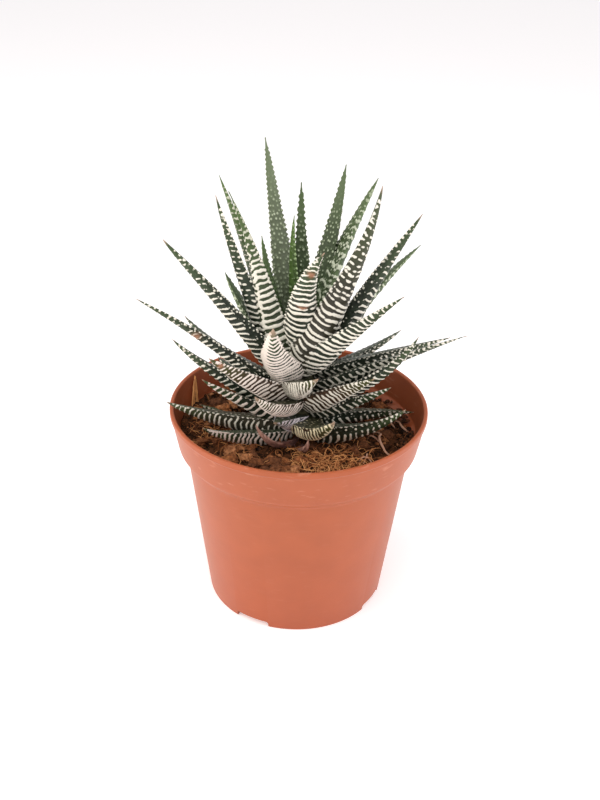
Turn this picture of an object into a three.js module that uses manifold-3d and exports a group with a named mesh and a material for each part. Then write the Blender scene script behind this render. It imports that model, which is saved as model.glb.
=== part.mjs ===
// A potted zebra haworthia: a rosette of tapering leaves with raised white bands on
// a short stem, rooted in bark soil in a plain plastic nursery pot.
// Millimetres, +Z up, the front is towards -Y. The origin is the centre of the
// pot's foot, on the surface that the pot stands on.

import * as THREE from "three";
import { mergeVertices } from "three/addons/utils/BufferGeometryUtils.js";
import Module from "manifold-3d";

// Driving dimensions of the pot
const POT_HEIGHT = 88;
const RIM_RADIUS = 52.5;
const FOOT_RADIUS = 37.5;
const COLLAR_BOTTOM = 71.5;
const COLLAR_BOTTOM_RADIUS = 49.3;
const BODY_TOP_RADIUS = 46.1;
const WALL = 1.3;
const LIP = 1.6;
const LIP_HEIGHT = 2.2;
const EDGE = 0.5;
const FLOOR_UNDERSIDE = 3;
const FLOOR_THICKNESS = 1.4;
const LEDGE_RISE = 2.6;
const LEDGE_DRAFT = 0.6;
const LIP_STEP = 0.5;
const FOOT_RING = 2.4;
const FOOT_RING_DRAFT = 0.2;
const INNER_CORNER = { across: 1.6, up: 2 };
const POT_SIDES = 48;
const FOOT_NOTCHES = [-28, 62, 152, 242];
const NOTCH_WIDTH = 15;
const NOTCH_DEPTH = 8;
const NOTCH_HEIGHT = 2.7;
const DRAIN_HOLES = 6;
const DRAIN_RADIUS = 3.2;
const DRAIN_CIRCLE = 23;
const DRAIN_SIDES = 8;
const DRAIN_CUTTER_LENGTH = 8;

// Driving dimensions of the soil
const SOIL_LEVEL = 74.6;
const SOIL_HEAP = 2.4;
const SOIL_WAVE = 0.35;
const SOIL_ROUGHNESS = 1.5;
const SOIL_SIDES = 32;
const SOIL_RINGS = 7;
const SOIL_WALL_SIDES = 24;
const SOIL_REACH = 56;

// Heaps and a hollow of the soil: x, y, spread squared and height in SOIL_HEAPs
const SOIL_MOUNDS = [[-34, 6, 520, 1], [0, 0, 260, 0.5], [34, 14, 700, -0.7]];

// Driving dimensions of the bark lumps, roots and fibres
const BARK_CHUNKS = 18;
const BARK_SIZE = 3.4;
const BARK_TILT = 0.7;
const BARK_NEAREST = 12;
const BARK_SPREAD = 32;
const BARK_RAISED = 0.2;
const ROOT_THICKNESS = 1.1;
const ROOT_PLACE = { x: 31, y: -18 };
const ROOT_CURL_RADIUS = 4.4;
const ROOT_POINTS = 14;
const ROOT_POINTS_A_TURN = 9;
const ROOT_DRIFT = { x: 0.5, y: -0.35 };
const ROOT_LIFT = 1.8;
const ROOT_SUNK = 0.4;
const ROOT_STEPS = 18;
const COIR_STRANDS = 5;
const COIR_THICKNESS = 0.8;
const COIR_SPACING = 4.5;
const COIR_LIFTS = [-1.2, 1.1, 1.3, -1.2];
const COIR_STEPS = 4;
const COIR_FIRST_BEARING = -6;
const COIR_BEARING_STEP = 14;
const COIR_NEAREST = 24;
const COIR_SPREAD = 14;
const WALL_STRAND_THICKNESS = 1;
const WALL_STRAND_STEPS = 6;
const WALL_STRAND = [[-43, 6, 72], [-45.2, 7.4, 78], [-46.6, 8.2, 84], [-46.9, 9.4, 86]];
const FIBRE_SIDES = 4;

// Driving dimensions of the plant
const STEM_BOTTOM = 63;
const STEM_TOP = 121;
const STEM_RADIUS = 6.4;
const STEM_SIDES = 12;
const STEM_PROFILE = [[1.6, 0], [0.4, 8], [0, 22], [0.4, 38], [2, 47], [4, 53]];
const FOOT_DISTANCE = 5;
const ROSETTE_LEAN = 22;

// Shape of a leaf, relative to its width and length
const BACK_DEPTH = 0.5;
const SHOULDER_OUT = 0.64;
const SHOULDER_DEPTH = 0.77;
const WIDEST_AT = 0.18;
const BASE_WIDTH = 0.8;
const WIDTH_TAPER = 0.82;
const DEPTH_TAPER = 0.9;
const BEND_LATE = 1.5;
const LINE_STEPS = 10;

// Raised bands and the room between neighbours
const THINNEST = 0.7;
const BAND_SPACING = 4.3;
const BAND_HEIGHT = 0.5;
const TOOTH_HEIGHT = 0.35;
const GAP = 0.3;
const ROOM_SMOOTHED = 0.15;
const LEAF_SMOOTHED = 0.05;
const SOIL_SMOOTHED = 0.12;

const POT_COLOUR = 0xc9714f;
const SOIL_COLOUR = 0x5e3c28;
const STEM_COLOUR = 0x6d6a45;
const LEAF_COLOUR = 0x5c6f52;
const PALE_LEAF_COLOUR = 0xb9b493;
const YOUNG_LEAF_COLOUR = 0x6f9550;
const DRY_LEAF_COLOUR = 0xa9826a;

// Each leaf: name, bearing of its foot on the stem, bearing it points to, height of
// its foot, rise above level, upward curl, sideways sway, length and width.
// Bearings are degrees from the front, positive to the right; lengths are mm.
const HEART_LEAVES = [
  ["heart_1", 151, -90, 116, 80, 12, 0, 52, 8],
  ["heart_2", 176, -174, 113, 76, 6, 0, 64, 8],
  ["heart_3", -110, -138, 111, 64, 12, -1, 47, 8],
  ["heart_4", -155, -161, 112, 59, 3, 1, 84, 11],
  ["heart_5", 178, 148, 114, 60, 9, 4, 72, 12],
  ["heart_6", -154, 126, 112, 63, -15, 6, 74, 13],
  ["heart_7", 180, 180, 108, 52, 10, 0, 54, 12],
];
const UPPER_LEAVES = [
  ["upper_1", 19, -8, 115, 64, -18, 43, 65, 13],
  ["upper_2", -116, -101, 107, 73, -9, -1, 79, 12],
  ["upper_3", 112, 123, 105, 46, -22, 4, 67, 10],
  ["upper_4", -123, -120, 105, 40, 10, -10, 45, 12],
  ["upper_5", 205, 205, 104, 40, 12, 0, 46, 12],
  ["upper_6", 160, 160, 104, 38, 12, 0, 44, 12],
  ["upper_7", -86, -63, 96, 80, -15, -2, 89, 17],
  ["upper_8", -12, 49, 108, 64, 9, 67, 84, 17],
  ["upper_9", 84, 72, 106, 62, -5, -2, 80, 13],
  ["upper_10", -87, -79, 101, 69, 3, -8, 81, 12],
];
const MIDDLE_LEAVES = [
  ["middle_1", 96, 97, 104, 13, -2, -1, 57, 10],
  ["middle_2", 135, 140, 101, 18, 14, 0, 42, 12],
  ["middle_3", 114, 113, 101, 13, 11, 1, 42, 10],
  ["middle_4", -34, -26, 107, 32, 37, 34, 42, 16],
  ["middle_5", -78, -74, 104, 55, -13, -23, 74, 13],
  ["middle_6", -108, -110, 97, 14, 25, -4, 51, 11],
  ["middle_7", 225, 222, 100, 20, 14, 0, 36, 12],
  ["middle_8", 6, 51, 109, 45, -5, 1, 63, 14],
  ["middle_9", 182, 182, 98, 22, 14, 0, 48, 13],
  ["middle_10", -65, -84, 95, 40, -9, 7, 73, 10],
  ["middle_11", 79, 82, 98, 26, -3, -3, 66, 11],
  ["middle_12", -8, -2, 102, 22, 14, 47, 33, 15],
  ["middle_13", 160, 160, 93, 10, 14, 0, 44, 13],
  ["middle_14", 205, 205, 92, 10, 14, 0, 44, 13],
  ["middle_15", 69, 72, 93, 24, 37, 1, 55, 12],
];
const LOWER_LEAVES = [
  ["lower_1", 120, 124, 91, 6, 12, 0, 42, 13],
  ["lower_2", -53, -41, 96, 33, 5, 12, 59, 14],
  ["lower_3", 240, 240, 90, 8, 12, 0, 36, 13],
  ["lower_4", -84, -89, 90, 23, 18, -1, 53, 13],
  ["lower_5", 34, 47, 93, 34, -2, -10, 44, 14],
  ["lower_6", -27, -19, 94, 13, 33, -16, 38, 13],
  ["lower_7", 72, 73, 88, 21, 11, -10, 37, 12],
  ["lower_8", 180, 182, 84, 2, 12, 0, 42, 13],
  ["lower_9", -74, -74, 84, 28, 7, 7, 41, 11],
  ["lower_10", 107, 101, 83, 0, -8, -8, 44, 13],
  ["lower_11", -28, -14, 85, 25, -21, -26, 19, 13],
  ["lower_12", -85, -80, 81, 8, 18, 10, 51, 16],
  ["lower_13", 4, 21, 85, 5, 48, 21, 32, 14],
  ["lower_14", 220, 216, 80, 0, 10, 0, 40, 13],
  ["lower_15", 145, 148, 79, 0, 10, 0, 40, 13],
  ["lower_16", 255, 258, 77, 3, 8, 0, 38, 12],
  ["lower_17", -64, -60, 78, 6, 28, 12, 42, 14],
  ["lower_18", 73, 58, 79, 14, 27, 13, 46, 15],
];
const DRY_LEAVES = [
  ["front_left", -25, -24, 76, 6, 68, -52, 29, 9],
  ["front", 8, 4, 75, -6, 88, 24, 22, 7],
];

// Leaves that taper faster or slower towards the tip than the others
const OWN_TAPERS = { upper_7: 1.25, middle_5: 0.7, middle_8: 1, middle_11: 1.05 };

// Leaves whose bands leave little green between them
const PALE_LEAVES = ["middle_4", "middle_12", "lower_6", "lower_11", "lower_13"];

const wasm = await Module();
wasm.setup();

const radians = THREE.MathUtils.degToRad;
const clamp = THREE.MathUtils.clamp;

// Seeded random numbers from 0 to 1
function randomSource(seed) {
  let state = seed >>> 0;
  return () => {
    state = (Math.imul(state, 1664525) + 1013904223) >>> 0;
    return state / 4294967296;
  };
}

// Unit vector of a bearing, with a rise above level
function direction(bearing, rise = 0) {
  const a = radians(bearing);
  const b = radians(rise);
  return new THREE.Vector3(Math.sin(a) * Math.cos(b), -Math.cos(a) * Math.cos(b), Math.sin(b));
}

// Solids from geometry and back
function solidOf(geometry) {
  const bare = geometry.clone();
  bare.deleteAttribute("normal");
  bare.deleteAttribute("uv");
  const merged = mergeVertices(bare, 1e-4);
  const vertProperties = new Float32Array(merged.attributes.position.array);
  const triVerts = new Uint32Array(merged.index.array);
  return new wasm.Manifold(new wasm.Mesh({ numProp: 3, vertProperties, triVerts }));
}

function geometryOf(solid) {
  const mesh = solid.getMesh();
  const geometry = new THREE.BufferGeometry();
  geometry.setAttribute("position", new THREE.BufferAttribute(mesh.vertProperties, 3));
  geometry.setIndex(new THREE.BufferAttribute(mesh.triVerts, 1));
  geometry.computeVertexNormals();
  return geometry;
}

// The largest body of a solid, without the scraps that a cut leaves
function mainBody(solid, smoothed) {
  const bodies = solid.simplify(smoothed).decompose();
  bodies.sort((a, b) => b.volume() - a.volume());
  return bodies[0];
}

function boxesMeet(a, b) {
  const boxA = a.boundingBox();
  const boxB = b.boundingBox();
  return [0, 1, 2].every((k) => boxA.min[k] < boxB.max[k] && boxB.min[k] < boxA.max[k]);
}

// A closed skin through rings of points, with a flat start and a pointed end
function loft(rings, tip) {
  const count = rings[0].length;
  const points = rings.flat().concat([tip]);
  const faces = [];
  for (let k = 1; k < count - 1; k += 1) {
    faces.push([0, k + 1, k]);
  }
  for (let i = 0; i < rings.length - 1; i += 1) {
    for (let k = 0; k < count; k += 1) {
      const a = i * count + k;
      const b = i * count + ((k + 1) % count);
      faces.push([a, b, a + count]);
      faces.push([b, b + count, a + count]);
    }
  }
  const last = (rings.length - 1) * count;
  for (let k = 0; k < count; k += 1) {
    faces.push([last + k, last + ((k + 1) % count), points.length - 1]);
  }
  const geometry = new THREE.BufferGeometry();
  geometry.setAttribute("position", new THREE.Float32BufferAttribute(points.flatMap((p) => p.toArray()), 3));
  geometry.setIndex(faces.flat());
  return geometry;
}

// Turned shape about the upright axis from [radius, height] points
function turned(profile, sides) {
  const points = profile.map(([r, z]) => new THREE.Vector2(r, z));
  return new THREE.LatheGeometry(points, sides).rotateX(Math.PI / 2);
}

// Relative width of a leaf along its length, 1 at its widest
function leafTaper(s, power) {
  if (s < WIDEST_AT) {
    return BASE_WIDTH + (1 - BASE_WIDTH) * Math.sin((Math.PI / 2) * (s / WIDEST_AT));
  }
  return Math.pow(1 - (s - WIDEST_AT) / (1 - WIDEST_AT), power);
}

// The middle line of a leaf: points and directions at even steps. The rosette leans
// back, so the leaves at its sides turn their banded backs to the front.
function leafLine([, foot, bearing, height, rise, curl, sway, length], steps) {
  const crowding = clamp((STEM_TOP + 1 - height) / 10, 0.25, 1);
  const point = direction(foot).multiplyScalar(FOOT_DISTANCE * crowding);
  point.z = height;
  const line = [];
  const fineSteps = steps * LINE_STEPS;
  for (let i = 0; i <= fineSteps; i += 1) {
    const bend = Math.pow(i / fineSteps, BEND_LATE);
    const facing = bearing + sway * bend;
    const heading = direction(facing, rise + curl * bend);
    if (i % LINE_STEPS === 0) {
      const lean = -ROSETTE_LEAN * Math.sin(radians(facing));
      const across = direction(facing + 90).applyAxisAngle(heading, radians(lean));
      line.push({ point: point.clone(), heading, across });
    }
    point.addScaledVector(heading, length / fineSteps);
  }
  return line;
}

// A leaf through its sections, keeled behind and flat in front. bandAt says
// how far the raised bands stand out at each section, from 0 to 1.
function leafThrough(leaf, steps, bandAt, grown) {
  const width = leaf[8];
  const power = OWN_TAPERS[leaf[0]] ?? WIDTH_TAPER;
  const line = leafLine(leaf, steps);
  const rings = [];
  for (let i = 0; i < steps; i += 1) {
    const taper = leafTaper(i / steps, power);
    const { point, heading, across } = line[i];
    const face = new THREE.Vector3().crossVectors(heading, across).normalize();
    const half = Math.max((width / 2) * taper, THINNEST / 2) + bandAt(i) * TOOTH_HEIGHT * taper + grown;
    const depth = Math.max(width * BACK_DEPTH * Math.pow(taper, DEPTH_TAPER), THINNEST)
      + bandAt(i) * BAND_HEIGHT * Math.sqrt(taper) + grown;
    const start = i === 0 ? -grown : 0;
    const at = (x, y) => point.clone()
      .addScaledVector(across, x * half)
      .addScaledVector(face, y)
      .addScaledVector(heading, start);
    rings.push([
      at(-1, grown),
      at(-SHOULDER_OUT, -SHOULDER_DEPTH * depth),
      at(0, -depth),
      at(SHOULDER_OUT, -SHOULDER_DEPTH * depth),
      at(1, grown),
    ]);
  }
  const end = line[steps];
  return solidOf(loft(rings, end.point.clone().addScaledVector(end.heading, grown)));
}

// Sections of a leaf: an even number, so that its bands come at every other one
function leafSteps(leaf) {
  return 2 * Math.max(5, Math.round(leaf[7] / BAND_SPACING / 2));
}

// A leaf with raised bands across its back and teeth on its margins
function leafSolid(leaf) {
  return leafThrough(leaf, leafSteps(leaf), (i) => i % 2, 0);
}

// The room that a leaf and its bands take, which its neighbours leave free
function leafRoom(leaf) {
  return leafThrough(leaf, leafSteps(leaf), () => 1, GAP + ROOM_SMOOTHED).simplify(ROOM_SMOOTHED);
}

// The short stem that the leaves grow from, ending in the closed bud. Its profile
// is given as what it falls short of its radius, and the height above its bottom.
function stemGeometry(grown = 0) {
  const side = STEM_PROFILE.map(([inset, height]) => [
    STEM_RADIUS + grown - inset,
    STEM_BOTTOM + height - (height === 0 ? grown : 0),
  ]);
  const profile = [[0, STEM_BOTTOM - grown], ...side, [0, STEM_TOP + grown]];
  return turned(profile, STEM_SIDES);
}

// Inner line of the pot's wall, from the rim down to the floor
function innerProfile(clearance = 0) {
  const c = clearance;
  const ledgeTop = COLLAR_BOTTOM + LEDGE_RISE + WALL;
  const ledgeTopRadius = COLLAR_BOTTOM_RADIUS - WALL + LEDGE_DRAFT;
  const floorTop = FLOOR_UNDERSIDE + FLOOR_THICKNESS;
  return [
    [RIM_RADIUS - LIP - c, POT_HEIGHT - EDGE],
    [ledgeTopRadius - c, ledgeTop + c],
    [BODY_TOP_RADIUS - WALL - c, ledgeTop - LEDGE_RISE],
    [FOOT_RADIUS - WALL - c, floorTop + INNER_CORNER.up],
    [FOOT_RADIUS - WALL - INNER_CORNER.across - c, floorTop + c],
    [0, floorTop + c],
  ];
}

// The pot: a tapered body, a step out to the collar, a thick lip and a foot ring
function potSolid() {
  const profile = [
    [0, FLOOR_UNDERSIDE],
    [FOOT_RADIUS - FOOT_RING, FLOOR_UNDERSIDE],
    [FOOT_RADIUS - FOOT_RING + FOOT_RING_DRAFT, 0],
    [FOOT_RADIUS - EDGE, 0],
    [FOOT_RADIUS, EDGE],
    [BODY_TOP_RADIUS, COLLAR_BOTTOM - (COLLAR_BOTTOM_RADIUS - BODY_TOP_RADIUS)],
    [COLLAR_BOTTOM_RADIUS, COLLAR_BOTTOM],
    [RIM_RADIUS - LIP_STEP, POT_HEIGHT - LIP_HEIGHT - EDGE],
    [RIM_RADIUS, POT_HEIGHT - LIP_HEIGHT],
    [RIM_RADIUS, POT_HEIGHT - EDGE],
    [RIM_RADIUS - EDGE, POT_HEIGHT],
    [RIM_RADIUS - LIP + EDGE, POT_HEIGHT],
    ...innerProfile(),
  ];
  let pot = solidOf(turned(profile, POT_SIDES));
  for (const bearing of FOOT_NOTCHES) {
    const notch = new THREE.BoxGeometry(NOTCH_WIDTH, NOTCH_DEPTH, 2 * NOTCH_HEIGHT);
    notch.translate(0, -FOOT_RADIUS, 0);
    notch.rotateZ(radians(bearing));
    pot = pot.subtract(solidOf(notch));
  }
  for (let k = 0; k < DRAIN_HOLES; k += 1) {
    const drain = new THREE.CylinderGeometry(
      DRAIN_RADIUS, DRAIN_RADIUS, DRAIN_CUTTER_LENGTH, DRAIN_SIDES);
    drain.rotateX(Math.PI / 2);
    const at = direction((360 / DRAIN_HOLES) * k).multiplyScalar(DRAIN_CIRCLE);
    drain.translate(at.x, at.y, FLOOR_UNDERSIDE);
    pot = pot.subtract(solidOf(drain));
  }
  return pot;
}

// Height of the soil: heaped on the left and round the stem, rough all over
function soilHeight(x, y) {
  let heaped = 0;
  for (const [atX, atY, spread, height] of SOIL_MOUNDS) {
    heaped += height * Math.exp(-((x - atX) ** 2 + (y - atY) ** 2) / spread);
  }
  const wave = Math.sin(x * 0.31 + 1.3) * Math.cos(y * 0.27) + 0.6 * Math.sin(x * 0.62 - y * 0.48);
  return SOIL_LEVEL + SOIL_HEAP * heaped + SOIL_WAVE * wave;
}

function soilMound() {
  const random = randomSource(7);
  const rings = [];
  for (let i = 0; i < SOIL_RINGS; i += 1) {
    const radius = (SOIL_REACH * (SOIL_RINGS - i)) / SOIL_RINGS;
    const ring = [];
    for (let k = 0; k < SOIL_SIDES; k += 1) {
      const at = direction(((k + 0.5 * (i % 2)) * 360) / SOIL_SIDES).multiplyScalar(radius);
      at.z = soilHeight(at.x, at.y) + SOIL_ROUGHNESS * (random() - 0.5);
      ring.push(at);
    }
    rings.push(ring);
  }
  const under = rings[0].map((p) => new THREE.Vector3(p.x, p.y, 0));
  return solidOf(loft([under, ...rings], new THREE.Vector3(0, 0, soilHeight(0, 0))));
}

// A lump of bark, half sunk in the soil
function barkChunk(random) {
  const chunk = new THREE.IcosahedronGeometry(1, 0);
  const size = BARK_SIZE * (0.7 + 0.8 * random());
  chunk.scale(size, size * (0.5 + 0.4 * random()), size * (0.4 + 0.35 * random()));
  chunk.rotateX(BARK_TILT * (random() - 0.5));
  chunk.rotateY(BARK_TILT * (random() - 0.5));
  chunk.rotateZ(Math.PI * random());
  const at = direction(360 * random());
  at.multiplyScalar(BARK_NEAREST + BARK_SPREAD * Math.sqrt(random()));
  chunk.translate(at.x, at.y, soilHeight(at.x, at.y) + BARK_RAISED * size);
  return solidOf(chunk);
}

// A root or coir fibre: a thin tube through points
function fibre(points, thickness, steps) {
  const path = new THREE.CatmullRomCurve3(points.map(([x, y, z]) => new THREE.Vector3(x, y, z)));
  const section = new THREE.Shape();
  for (let k = 0; k < FIBRE_SIDES; k += 1) {
    const a = (2 * Math.PI * k) / FIBRE_SIDES;
    const x = (thickness / 2) * Math.cos(a);
    const y = (thickness / 2) * Math.sin(a);
    if (k === 0) {
      section.moveTo(x, y);
    } else {
      section.lineTo(x, y);
    }
  }
  section.closePath();
  return solidOf(new THREE.ExtrudeGeometry(section, { steps, bevelEnabled: false, extrudePath: path }));
}

// A root that curls out of the soil at the right front
function curlyRoot() {
  const points = [];
  for (let k = 0; k <= ROOT_POINTS; k += 1) {
    const turn = (2 * Math.PI * k) / ROOT_POINTS_A_TURN;
    const x = ROOT_PLACE.x + ROOT_DRIFT.x * k + ROOT_CURL_RADIUS * Math.cos(turn);
    const y = ROOT_PLACE.y + ROOT_DRIFT.y * k + ROOT_CURL_RADIUS * Math.sin(turn);
    const lift = ROOT_LIFT * Math.sin((Math.PI * k) / ROOT_POINTS) - ROOT_SUNK;
    points.push([x, y, soilHeight(x, y) + lift]);
  }
  return fibre(points, ROOT_THICKNESS, ROOT_STEPS);
}

// Coir strands on the soil at the front, and one that leans on the left wall
function coirStrands() {
  const random = randomSource(31);
  const strands = [];
  for (let k = 0; k < COIR_STRANDS; k += 1) {
    const start = direction(COIR_FIRST_BEARING + COIR_BEARING_STEP * k + 8 * random());
    start.multiplyScalar(COIR_NEAREST + COIR_SPREAD * random());
    const along = direction(60 + 70 * (random() - 0.5));
    const points = [];
    for (const [j, lift] of COIR_LIFTS.entries()) {
      const at = start.clone().addScaledVector(along, (j - 1.5) * COIR_SPACING);
      points.push([at.x, at.y, soilHeight(at.x, at.y) + lift]);
    }
    strands.push(fibre(points, COIR_THICKNESS, COIR_STEPS));
  }
  strands.push(fibre(WALL_STRAND, WALL_STRAND_THICKNESS, WALL_STRAND_STEPS));
  return strands;
}

function soilSolid(rooms) {
  const wall = innerProfile(GAP).reverse();
  const inside = solidOf(turned(wall.concat([[0, POT_HEIGHT - EDGE]]), SOIL_WALL_SIDES));
  const random = randomSource(19);
  let soil = soilMound();
  for (let k = 0; k < BARK_CHUNKS; k += 1) {
    soil = soil.add(barkChunk(random));
  }
  soil = soil.intersect(inside);
  for (const strand of [curlyRoot(), ...coirStrands()]) {
    soil = soil.add(strand.intersect(inside));
  }
  for (const room of rooms) {
    if (boxesMeet(soil, room)) {
      soil = soil.subtract(room);
    }
  }
  return mainBody(soil, SOIL_SMOOTHED);
}

const plant = new THREE.Group();

function place(name, geometry, colour, roughness) {
  const material = new THREE.MeshStandardMaterial({ color: colour, roughness, metalness: 0 });
  const mesh = new THREE.Mesh(geometry, material);
  mesh.name = name;
  plant.add(mesh);
}

place("pot", geometryOf(potSolid()), POT_COLOUR, 0.55);
place("stem", geometryOf(solidOf(stemGeometry())), STEM_COLOUR, 0.8);

// Leaves from the heart outwards: each later leaf gives way to the earlier ones
const rooms = [solidOf(stemGeometry(GAP))];
const green = [...HEART_LEAVES, ...UPPER_LEAVES, ...MIDDLE_LEAVES, ...LOWER_LEAVES];

function growLeaf(leaf, name, colour, roughness) {
  let solid = leafSolid(leaf);
  for (const room of rooms) {
    if (boxesMeet(solid, room)) {
      solid = solid.subtract(room);
    }
  }
  place(name, geometryOf(mainBody(solid, LEAF_SMOOTHED)), colour, roughness);
  rooms.push(leafRoom(leaf));
}

for (const leaf of green) {
  const young = leaf[0] === "heart_1";
  const colour = PALE_LEAVES.includes(leaf[0]) ? PALE_LEAF_COLOUR : LEAF_COLOUR;
  growLeaf(leaf, `leaf_${leaf[0]}`, young ? YOUNG_LEAF_COLOUR : colour, 0.5);
}
for (const leaf of DRY_LEAVES) {
  growLeaf(leaf, `dry_leaf_${leaf[0]}`, DRY_LEAF_COLOUR, 0.85);
}

place("soil", geometryOf(soilSolid(rooms)), SOIL_COLOUR, 0.95);

export default plant;
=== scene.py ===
# The looks of a potted zebra haworthia: a banded rosette in bark soil in a plain
# nursery pot. Lengths are millimetres unless a name or unit says otherwise, and
# every mesh is scaled to metres when it is finished.

import math
import random
from typing import NamedTuple

import bmesh
import bpy
from bpy.props import FloatProperty, FloatVectorProperty, IntProperty, PointerProperty
from mathutils import Matrix, Vector, noise


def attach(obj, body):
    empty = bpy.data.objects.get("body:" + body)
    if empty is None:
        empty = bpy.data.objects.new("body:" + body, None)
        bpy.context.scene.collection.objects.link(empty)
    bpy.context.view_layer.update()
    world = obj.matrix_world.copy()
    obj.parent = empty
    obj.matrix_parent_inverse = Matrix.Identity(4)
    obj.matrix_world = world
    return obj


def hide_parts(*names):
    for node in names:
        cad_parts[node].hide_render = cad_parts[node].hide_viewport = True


bl_info = {
    "name": "Potted haworthia",
    "version": (1, 0, 0),
    "blender": (4, 5, 0),
    "location": "3D View > Sidebar > Haworthia",
    "description": "Builds a potted zebra haworthia: pot, soil, stem and banded leaves",
    "category": "Add Mesh",
}

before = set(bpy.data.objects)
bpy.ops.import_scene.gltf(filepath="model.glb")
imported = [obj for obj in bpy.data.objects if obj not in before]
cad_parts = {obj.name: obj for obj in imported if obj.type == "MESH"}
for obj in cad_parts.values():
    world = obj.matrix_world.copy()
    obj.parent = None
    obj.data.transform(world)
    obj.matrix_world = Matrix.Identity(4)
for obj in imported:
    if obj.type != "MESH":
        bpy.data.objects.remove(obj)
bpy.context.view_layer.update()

MM = 0.001
BODY = "root"

# Sizes of the pot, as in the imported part
POT_HEIGHT = 88
RIM_RADIUS = 52.5
FOOT_RADIUS = 37.5
COLLAR_BOTTOM = 71.5
COLLAR_BOTTOM_RADIUS = 49.3
BODY_TOP_RADIUS = 46.1
WALL = 1.3
LIP = 1.6
LIP_HEIGHT = 2.2
FLOOR_UNDERSIDE = 3
FLOOR_THICKNESS = 1.4
LEDGE_RISE = 2.6
LEDGE_DRAFT = 0.6
LIP_STEP = 0.5
FOOT_RING = 2.4
FOOT_RING_DRAFT = 0.2
INNER_CORNER_ACROSS = 1.6
INNER_CORNER_UP = 2
FOOT_NOTCHES = (-28, 62, 152, 242)
NOTCH_WIDTH = 15
NOTCH_DEPTH = 8
NOTCH_HEIGHT = 2.7
DRAIN_HOLES = 6
DRAIN_RADIUS = 3.2
DRAIN_CIRCLE = 23
FLOOR_TOP = FLOOR_UNDERSIDE + FLOOR_THICKNESS
LEDGE = COLLAR_BOTTOM + WALL
LEDGE_TOP = LEDGE + LEDGE_RISE

# Sizes of the soil and the stem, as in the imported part
SOIL_LEVEL = 74.6
SOIL_HEAP = 2.4
SOIL_WAVE = 0.35
SOIL_GAP = 0.3
SOIL_SIDES = 240
SOIL_RINGS = 90
STEM_BOTTOM = 63
STEM_TOP = 121
STEM_RADIUS = 6.4

# Heaps and a hollow of the soil: x, y, spread squared and height in SOIL_HEAPs
SOIL_MOUNDS = ((-34, 6, 520, 1), (0, 0, 260, 0.5), (34, 14, 700, -0.7))

# Large bark chips: how many, between which bearings, and how far they stand up
CHIP_PATCHES = ((46, (-80, 5), 0.35), (14, (-134, -106), 0.7), (14, (0, 360), 0.35))
# Crumbs that cover the ledge at the right wall: real soil, drawn darker as painted shade beside the wall
LEDGE_CRUMBS = 150
LEDGE_CRUMB_BEARINGS = (35, 125)

# Coir: share of the fibres, bearing and its spread, nearest and furthest from the stem
COIR_PATCHES = ((0.56, 27, 15, 22, 44), (0.14, -88, 12, 36, 46), (0.30, -20, 60, 16, 44))
WALL_STRANDS = 14
WALL_STRAND_BEARING = -111
WALL_STRAND_LEAN = -6
WALL_STRAND_RISE = 13.1

# Curled roots: girth, height of the loop, and the line that it follows from above
ROOT_LOOPS = (
    (0.52, 4.2, (
        (31.0, 1.0), (33.8, -4.0), (33.0, -7.8), (33.0, -11.7), (34.2, -14.6), (35.8, -16.7),
        (38.6, -17.0))),
    (0.45, 3.4, ((40.5, 11.0), (42.2, 7.0), (42.5, 4.2), (43.3, 2.2), (45.0, 1.4), (46.2, 2.4))),
    (0.40, 2.2, ((35.1, 12.1), (37.2, 9.8), (39.1, 7.7), (40.6, 6.8))),
    (0.36, 3.0, ((28.5, -4.6), (31.4, -6.4), (33.4, -6.0))),
    (0.28, 2.2, ((24.5, -22.5), (27.0, -21.4), (29.0, -22.6), (30.5, -25.0))),
    (0.28, 2.6, ((27.5, -18.5), (27.4, -21.0), (26.0, -24.0))),
)
ROOT_STEPS = 8

# Shape of every leaf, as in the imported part
FOOT_DISTANCE = 5
BACK_DEPTH = 0.5
ROSETTE_LEAN = 22
WIDEST_AT = 0.18
BASE_WIDTH = 0.8
WIDTH_TAPER = 0.82
OWN_TAPERS = {"upper_7": 1.25, "middle_5": 0.7, "middle_8": 1, "middle_11": 1.05}
THINNEST = 0.5

# Sections of a leaf: points across its back and its face, and their spacing
BACK_POINTS = 28
FACE_POINTS = 14
SECTION_SPACING = 0.42
DRY_LEAF_STEPS = 60

# Seeds of the random draws
CHIP_SEED = 11
COIR_SEED = 23
ROOT_SEED = 5
FIRST_LEAF_SEED = 1
FIRST_DRY_LEAF_SEED = 71


class Leaf(NamedTuple):
    """A leaf's place and size. Bearings are degrees from the front, positive to the right.

    foot is the bearing of its foot on the stem, bearing the one that it points to, and height
    its foot's. rise is its angle above level, to which curl is added towards the tip, as sway
    is to the bearing.
    """

    name: str
    foot: float
    bearing: float
    height: float
    rise: float
    curl: float
    sway: float
    length: float
    width: float
    look: str


class Look(NamedTuple):
    """How a leaf's back is banded and its skin coloured. Lengths are in millimetres.

    A band comes about every period, and share of that is white. From the keel to a margin
    7 mm away it rises by arch, along a curve of the given power. It is broken into pieces of
    about one stroke, which scatter moves along the leaf by a part of the period. It comes
    within reach of the margins, where 1 is all the way. Past dotted, a part of the leaf's
    length, it is a row of dots. keel is half the width of a white line along the keel, and
    dots the share of the small dots that show.
    """

    period: float
    share: float
    arch: float
    power: float
    stroke: float
    scatter: float
    reach: float
    keel: float
    dotted: float
    dots: float
    green: str
    white: str
    slot: str


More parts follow.
